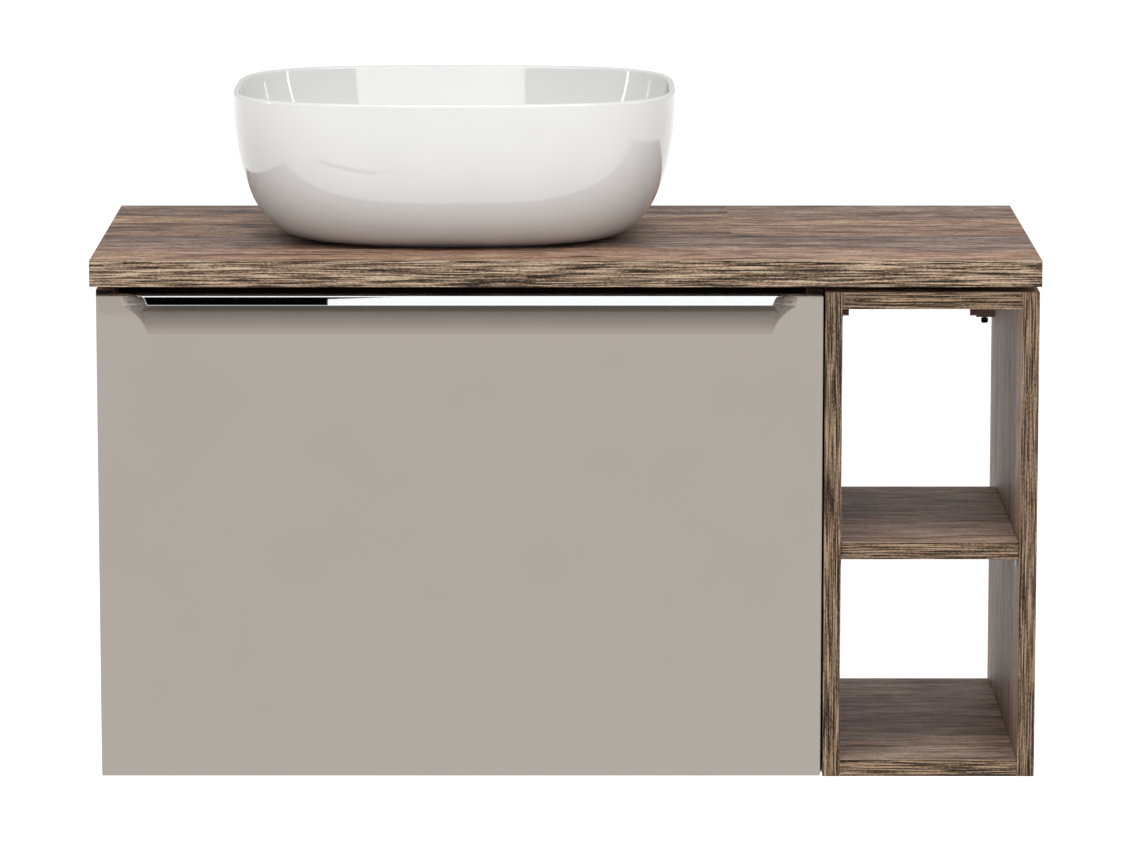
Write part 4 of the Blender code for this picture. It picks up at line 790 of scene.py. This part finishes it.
# %% Push cap
CAP_THICK, CAP_RIM, CAP_STEPS, STEM_CHAMFER = 6 * MM, 0.22, 14, 1 * MM
cap_low, cap_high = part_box("waste_cap")
cap_r = (cap_high.x - cap_low.x) / 2
under = cap_high.z - CAP_THICK
dome = [(cap_r * math.sin(t) ** 0.9, under + CAP_THICK * (CAP_RIM + (1 - CAP_RIM) * math.cos(t) ** 0.75))
        for t in quarter(CAP_STEPS)[:-1]]
edge = rounded([(cap_r, under + CAP_RIM * CAP_THICK), (cap_r, under), (STEM_R, under)], 0.4)
dome += edge[4:8]
dome += [(STEM_R, under), (STEM_R, cap_low.z + STEM_CHAMFER), (STEM_R - STEM_CHAMFER, cap_low.z),
         (0, cap_low.z)]
make("push_cap", spin(dome, axis), chrome, "waste_cap", ["waste_cap"])
print("cap", round(2 * cap_r / MM, 1), "mm across")

# %% Nuts
RIB_DEEP, NUT_LIP, NUT_STEPS = 1.1 * MM, 1.2 * MM, 192
PIPE_R, STUB_R, STUB_SEAT, INLET_STEP = 16 * MM, 18.5 * MM, 8 * MM, 2.2 * MM


def ribbed_nut(name, node, bore, finish, along_axis='Z', ribs=16, steps=()):
    """A hand nut in a node's box, with ribs round its outside and a bore that may be stepped."""
    low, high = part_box(node)
    outer = (high.x - low.x) / 2
    start, end = (low.z, high.z) if along_axis == 'Z' else (low.y, high.y)
    outline = [(outer - 1.6 * MM, end), (outer - 0.9 * MM, end - 0.7 * MM), (outer, end - NUT_LIP),
               (outer, start + NUT_LIP), (outer - 0.9 * MM, start + 0.7 * MM), (outer - 1.6 * MM, start)]
    inner = [(bore[0], start)] + [(bore[k], height) for height, k in steps] + [(bore[-1], end)]
    centre = axis if along_axis == 'Z' else (axis[0], 0, (low.z + high.z) / 2)
    flutes = (ribs, RIB_DEEP, outer - 0.5 * MM)
    return make(name, spin(outline + inner, centre, along_axis, NUT_STEPS, flutes), finish, "cabinet",
                [node])


inlet_step = waste_low.z - INLET_STEP
stub_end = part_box("trap_outlet_nut")[1].y - STUB_SEAT
nuts = [ribbed_nut("lock_nut", "waste_locknut", [WASTE_R + 0.2 * MM], zinc, ribs=12),
        ribbed_nut("inlet_nut", "trap_inlet_nut", [PIPE_R, WASTE_R], chrome, ribs=20,
                   steps=[(inlet_step, 0), (inlet_step, 1)]),
        ribbed_nut("outlet_nut", "trap_outlet_nut", [STUB_R, PIPE_R], chrome, 'Y',
                   steps=[(stub_end, 0), (stub_end, 1)])]
print("nuts:", [nut.name for nut in nuts])

# %% Trap
TRAP_R, TRAP_INSIDE, PIPE_BORE = 30 * MM, 27.5 * MM, 14.5 * MM
SKIRT_DROP, SHOULDER_RISE, SHOULDER_FALL = 32 * MM, 35 * MM, 12 * MM
COLLAR_THICK, COLLAR_INSET, FILLET, ROOF, ROOF_EDGE = 2 * MM, 1.5 * MM, 3 * MM, 4 * MM, 15 * MM
STUB_FLOOR, FIT = 8 * MM, 0.2 * MM
body_low, body_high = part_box("trap_body")
rosette_low, rosette_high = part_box("wall_rosette")
outlet_z = (rosette_low.z + rosette_high.z) / 2
skirt, shoulder, collar = outlet_z - SKIRT_DROP, outlet_z + SHOULDER_RISE, body_high.z
neck = PIPE_R + FILLET
# The collar and the inlet tube, the fillet and the shoulder, then the inside and the dip tube.
bottle = [(WASTE_R - COLLAR_INSET, collar), (WASTE_R - COLLAR_INSET, collar - COLLAR_THICK),
          (PIPE_R, collar - COLLAR_THICK), (PIPE_R, shoulder + FILLET)]
bottle += [(neck - FILLET * math.cos(t), shoulder + FILLET * (1 - math.sin(t))) for t in quarter(6, 1)]
bottle += [(neck + (TRAP_R - neck) * math.sin(t), shoulder - SHOULDER_FALL * (1 - math.cos(t)))
           for t in quarter(12, 1)]
bottle += [(TRAP_R, skirt), (TRAP_INSIDE, skirt), (TRAP_INSIDE, shoulder - ROOF_EDGE),
           (PIPE_R + ROOF, shoulder - ROOF), (PIPE_R, shoulder - ROOF), (PIPE_R, body_low.z),
           (PIPE_BORE, body_low.z), (PIPE_BORE, collar)]
trap = make("bottle_trap", spin(bottle, axis), chrome, "cabinet", ["trap_body"])

# The outlet stub is joined on, then bored for the pipe.
outlet = (axis[0], 0, outlet_z)
stub_start, stub_bore = axis[1] + TRAP_INSIDE + FIT, PIPE_R + 0.1 * MM
stub_outline = [(STUB_R, body_high.y), (STUB_R, stub_start), (0, stub_start), (0, body_high.y)]
carve(trap, spin(rounded(stub_outline, 0.5), outlet, 'Y'), 'UNION')
carve(trap, spin([(stub_bore, body_high.y + PAST), (stub_bore, stub_start - STUB_FLOOR),
                  (0, stub_start - STUB_FLOOR), (0, body_high.y + PAST)], outlet, 'Y'))
print("outlet at z", round(outlet_z, 4))

# %% Trap cup
CUP_FLOOR, CUP_CORNER, CUP_ROUND, CUP_TURN, CUP_RIBS = 5 * MM, 4 * MM, 10 * MM, 8 * MM, 24
cup_low, cup_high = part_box("trap_cup")
cup_r = cup_high.x - axis[0]
sleeve, ledge, floor_top = TRAP_R + FIT, skirt - SLACK, cup_low.z + CUP_FLOOR
well = [(0, floor_top), (TRAP_INSIDE - CUP_CORNER, floor_top), (TRAP_INSIDE, floor_top + CUP_CORNER),
        (TRAP_INSIDE, ledge), (sleeve, ledge), (sleeve, cup_high.z)]
grip = [(cup_r - 1 * MM, cup_high.z), (cup_r, cup_high.z - 1 * MM), (cup_r, skirt - 5 * MM),
        (cup_r - 1 * MM, skirt - 6.5 * MM), (TRAP_R + 0.6 * MM, skirt - 8 * MM),
        (TRAP_R, skirt - 9.5 * MM)]
round_end = [(TRAP_R - CUP_TURN * (1 - math.cos(t)), cup_low.z + CUP_ROUND * (1 - math.sin(t)))
             for t in quarter(10)]
cup_section = well + grip + round_end + [(0, cup_low.z)]
make("trap_bowl", spin(cup_section, axis, 'Z', NUT_STEPS, (CUP_RIBS, 1 * MM, cup_r - 0.4 * MM)), chrome,
     "cabinet", ["trap_cup"])
print("trap cup ends", round((worktop_low.z - cup_low.z) / MM), "mm below the worktop")

# %% Pipe and rosette
BELL_RIM, BELL_CURVE, BELL_STEPS = 1.5 * MM, 2.2, 14
pipe_low, pipe_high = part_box("trap_outlet_pipe")
pipe_section = [(PIPE_R, pipe_high.y), (PIPE_R, pipe_low.y), (PIPE_BORE, pipe_low.y),
                (PIPE_BORE, pipe_high.y)]
make("outlet_pipe", spin(rounded(pipe_section, 0.4), outlet, 'Y'), chrome, "cabinet",
     ["trap_outlet_pipe"])
rose_r, rose_deep = (rosette_high.x - rosette_low.x) / 2, rosette_high.y - rosette_low.y
bell = [(rose_r, rosette_high.y)]
for k in range(BELL_STEPS + 1):
    share = k / BELL_STEPS
    bell.append((rose_r - (rose_r - neck) * share,
                 rosette_low.y + (rose_deep - BELL_RIM) * (1 - share) ** BELL_CURVE))
bell += [(PIPE_R + FIT, rosette_low.y), (PIPE_R + FIT, rosette_high.y)]
make("wall_bell", spin(bell, outlet, 'Y'), chrome, "cabinet", ["wall_rosette"])
print("pipe", round((pipe_high.y - pipe_low.y) / MM), "mm long")
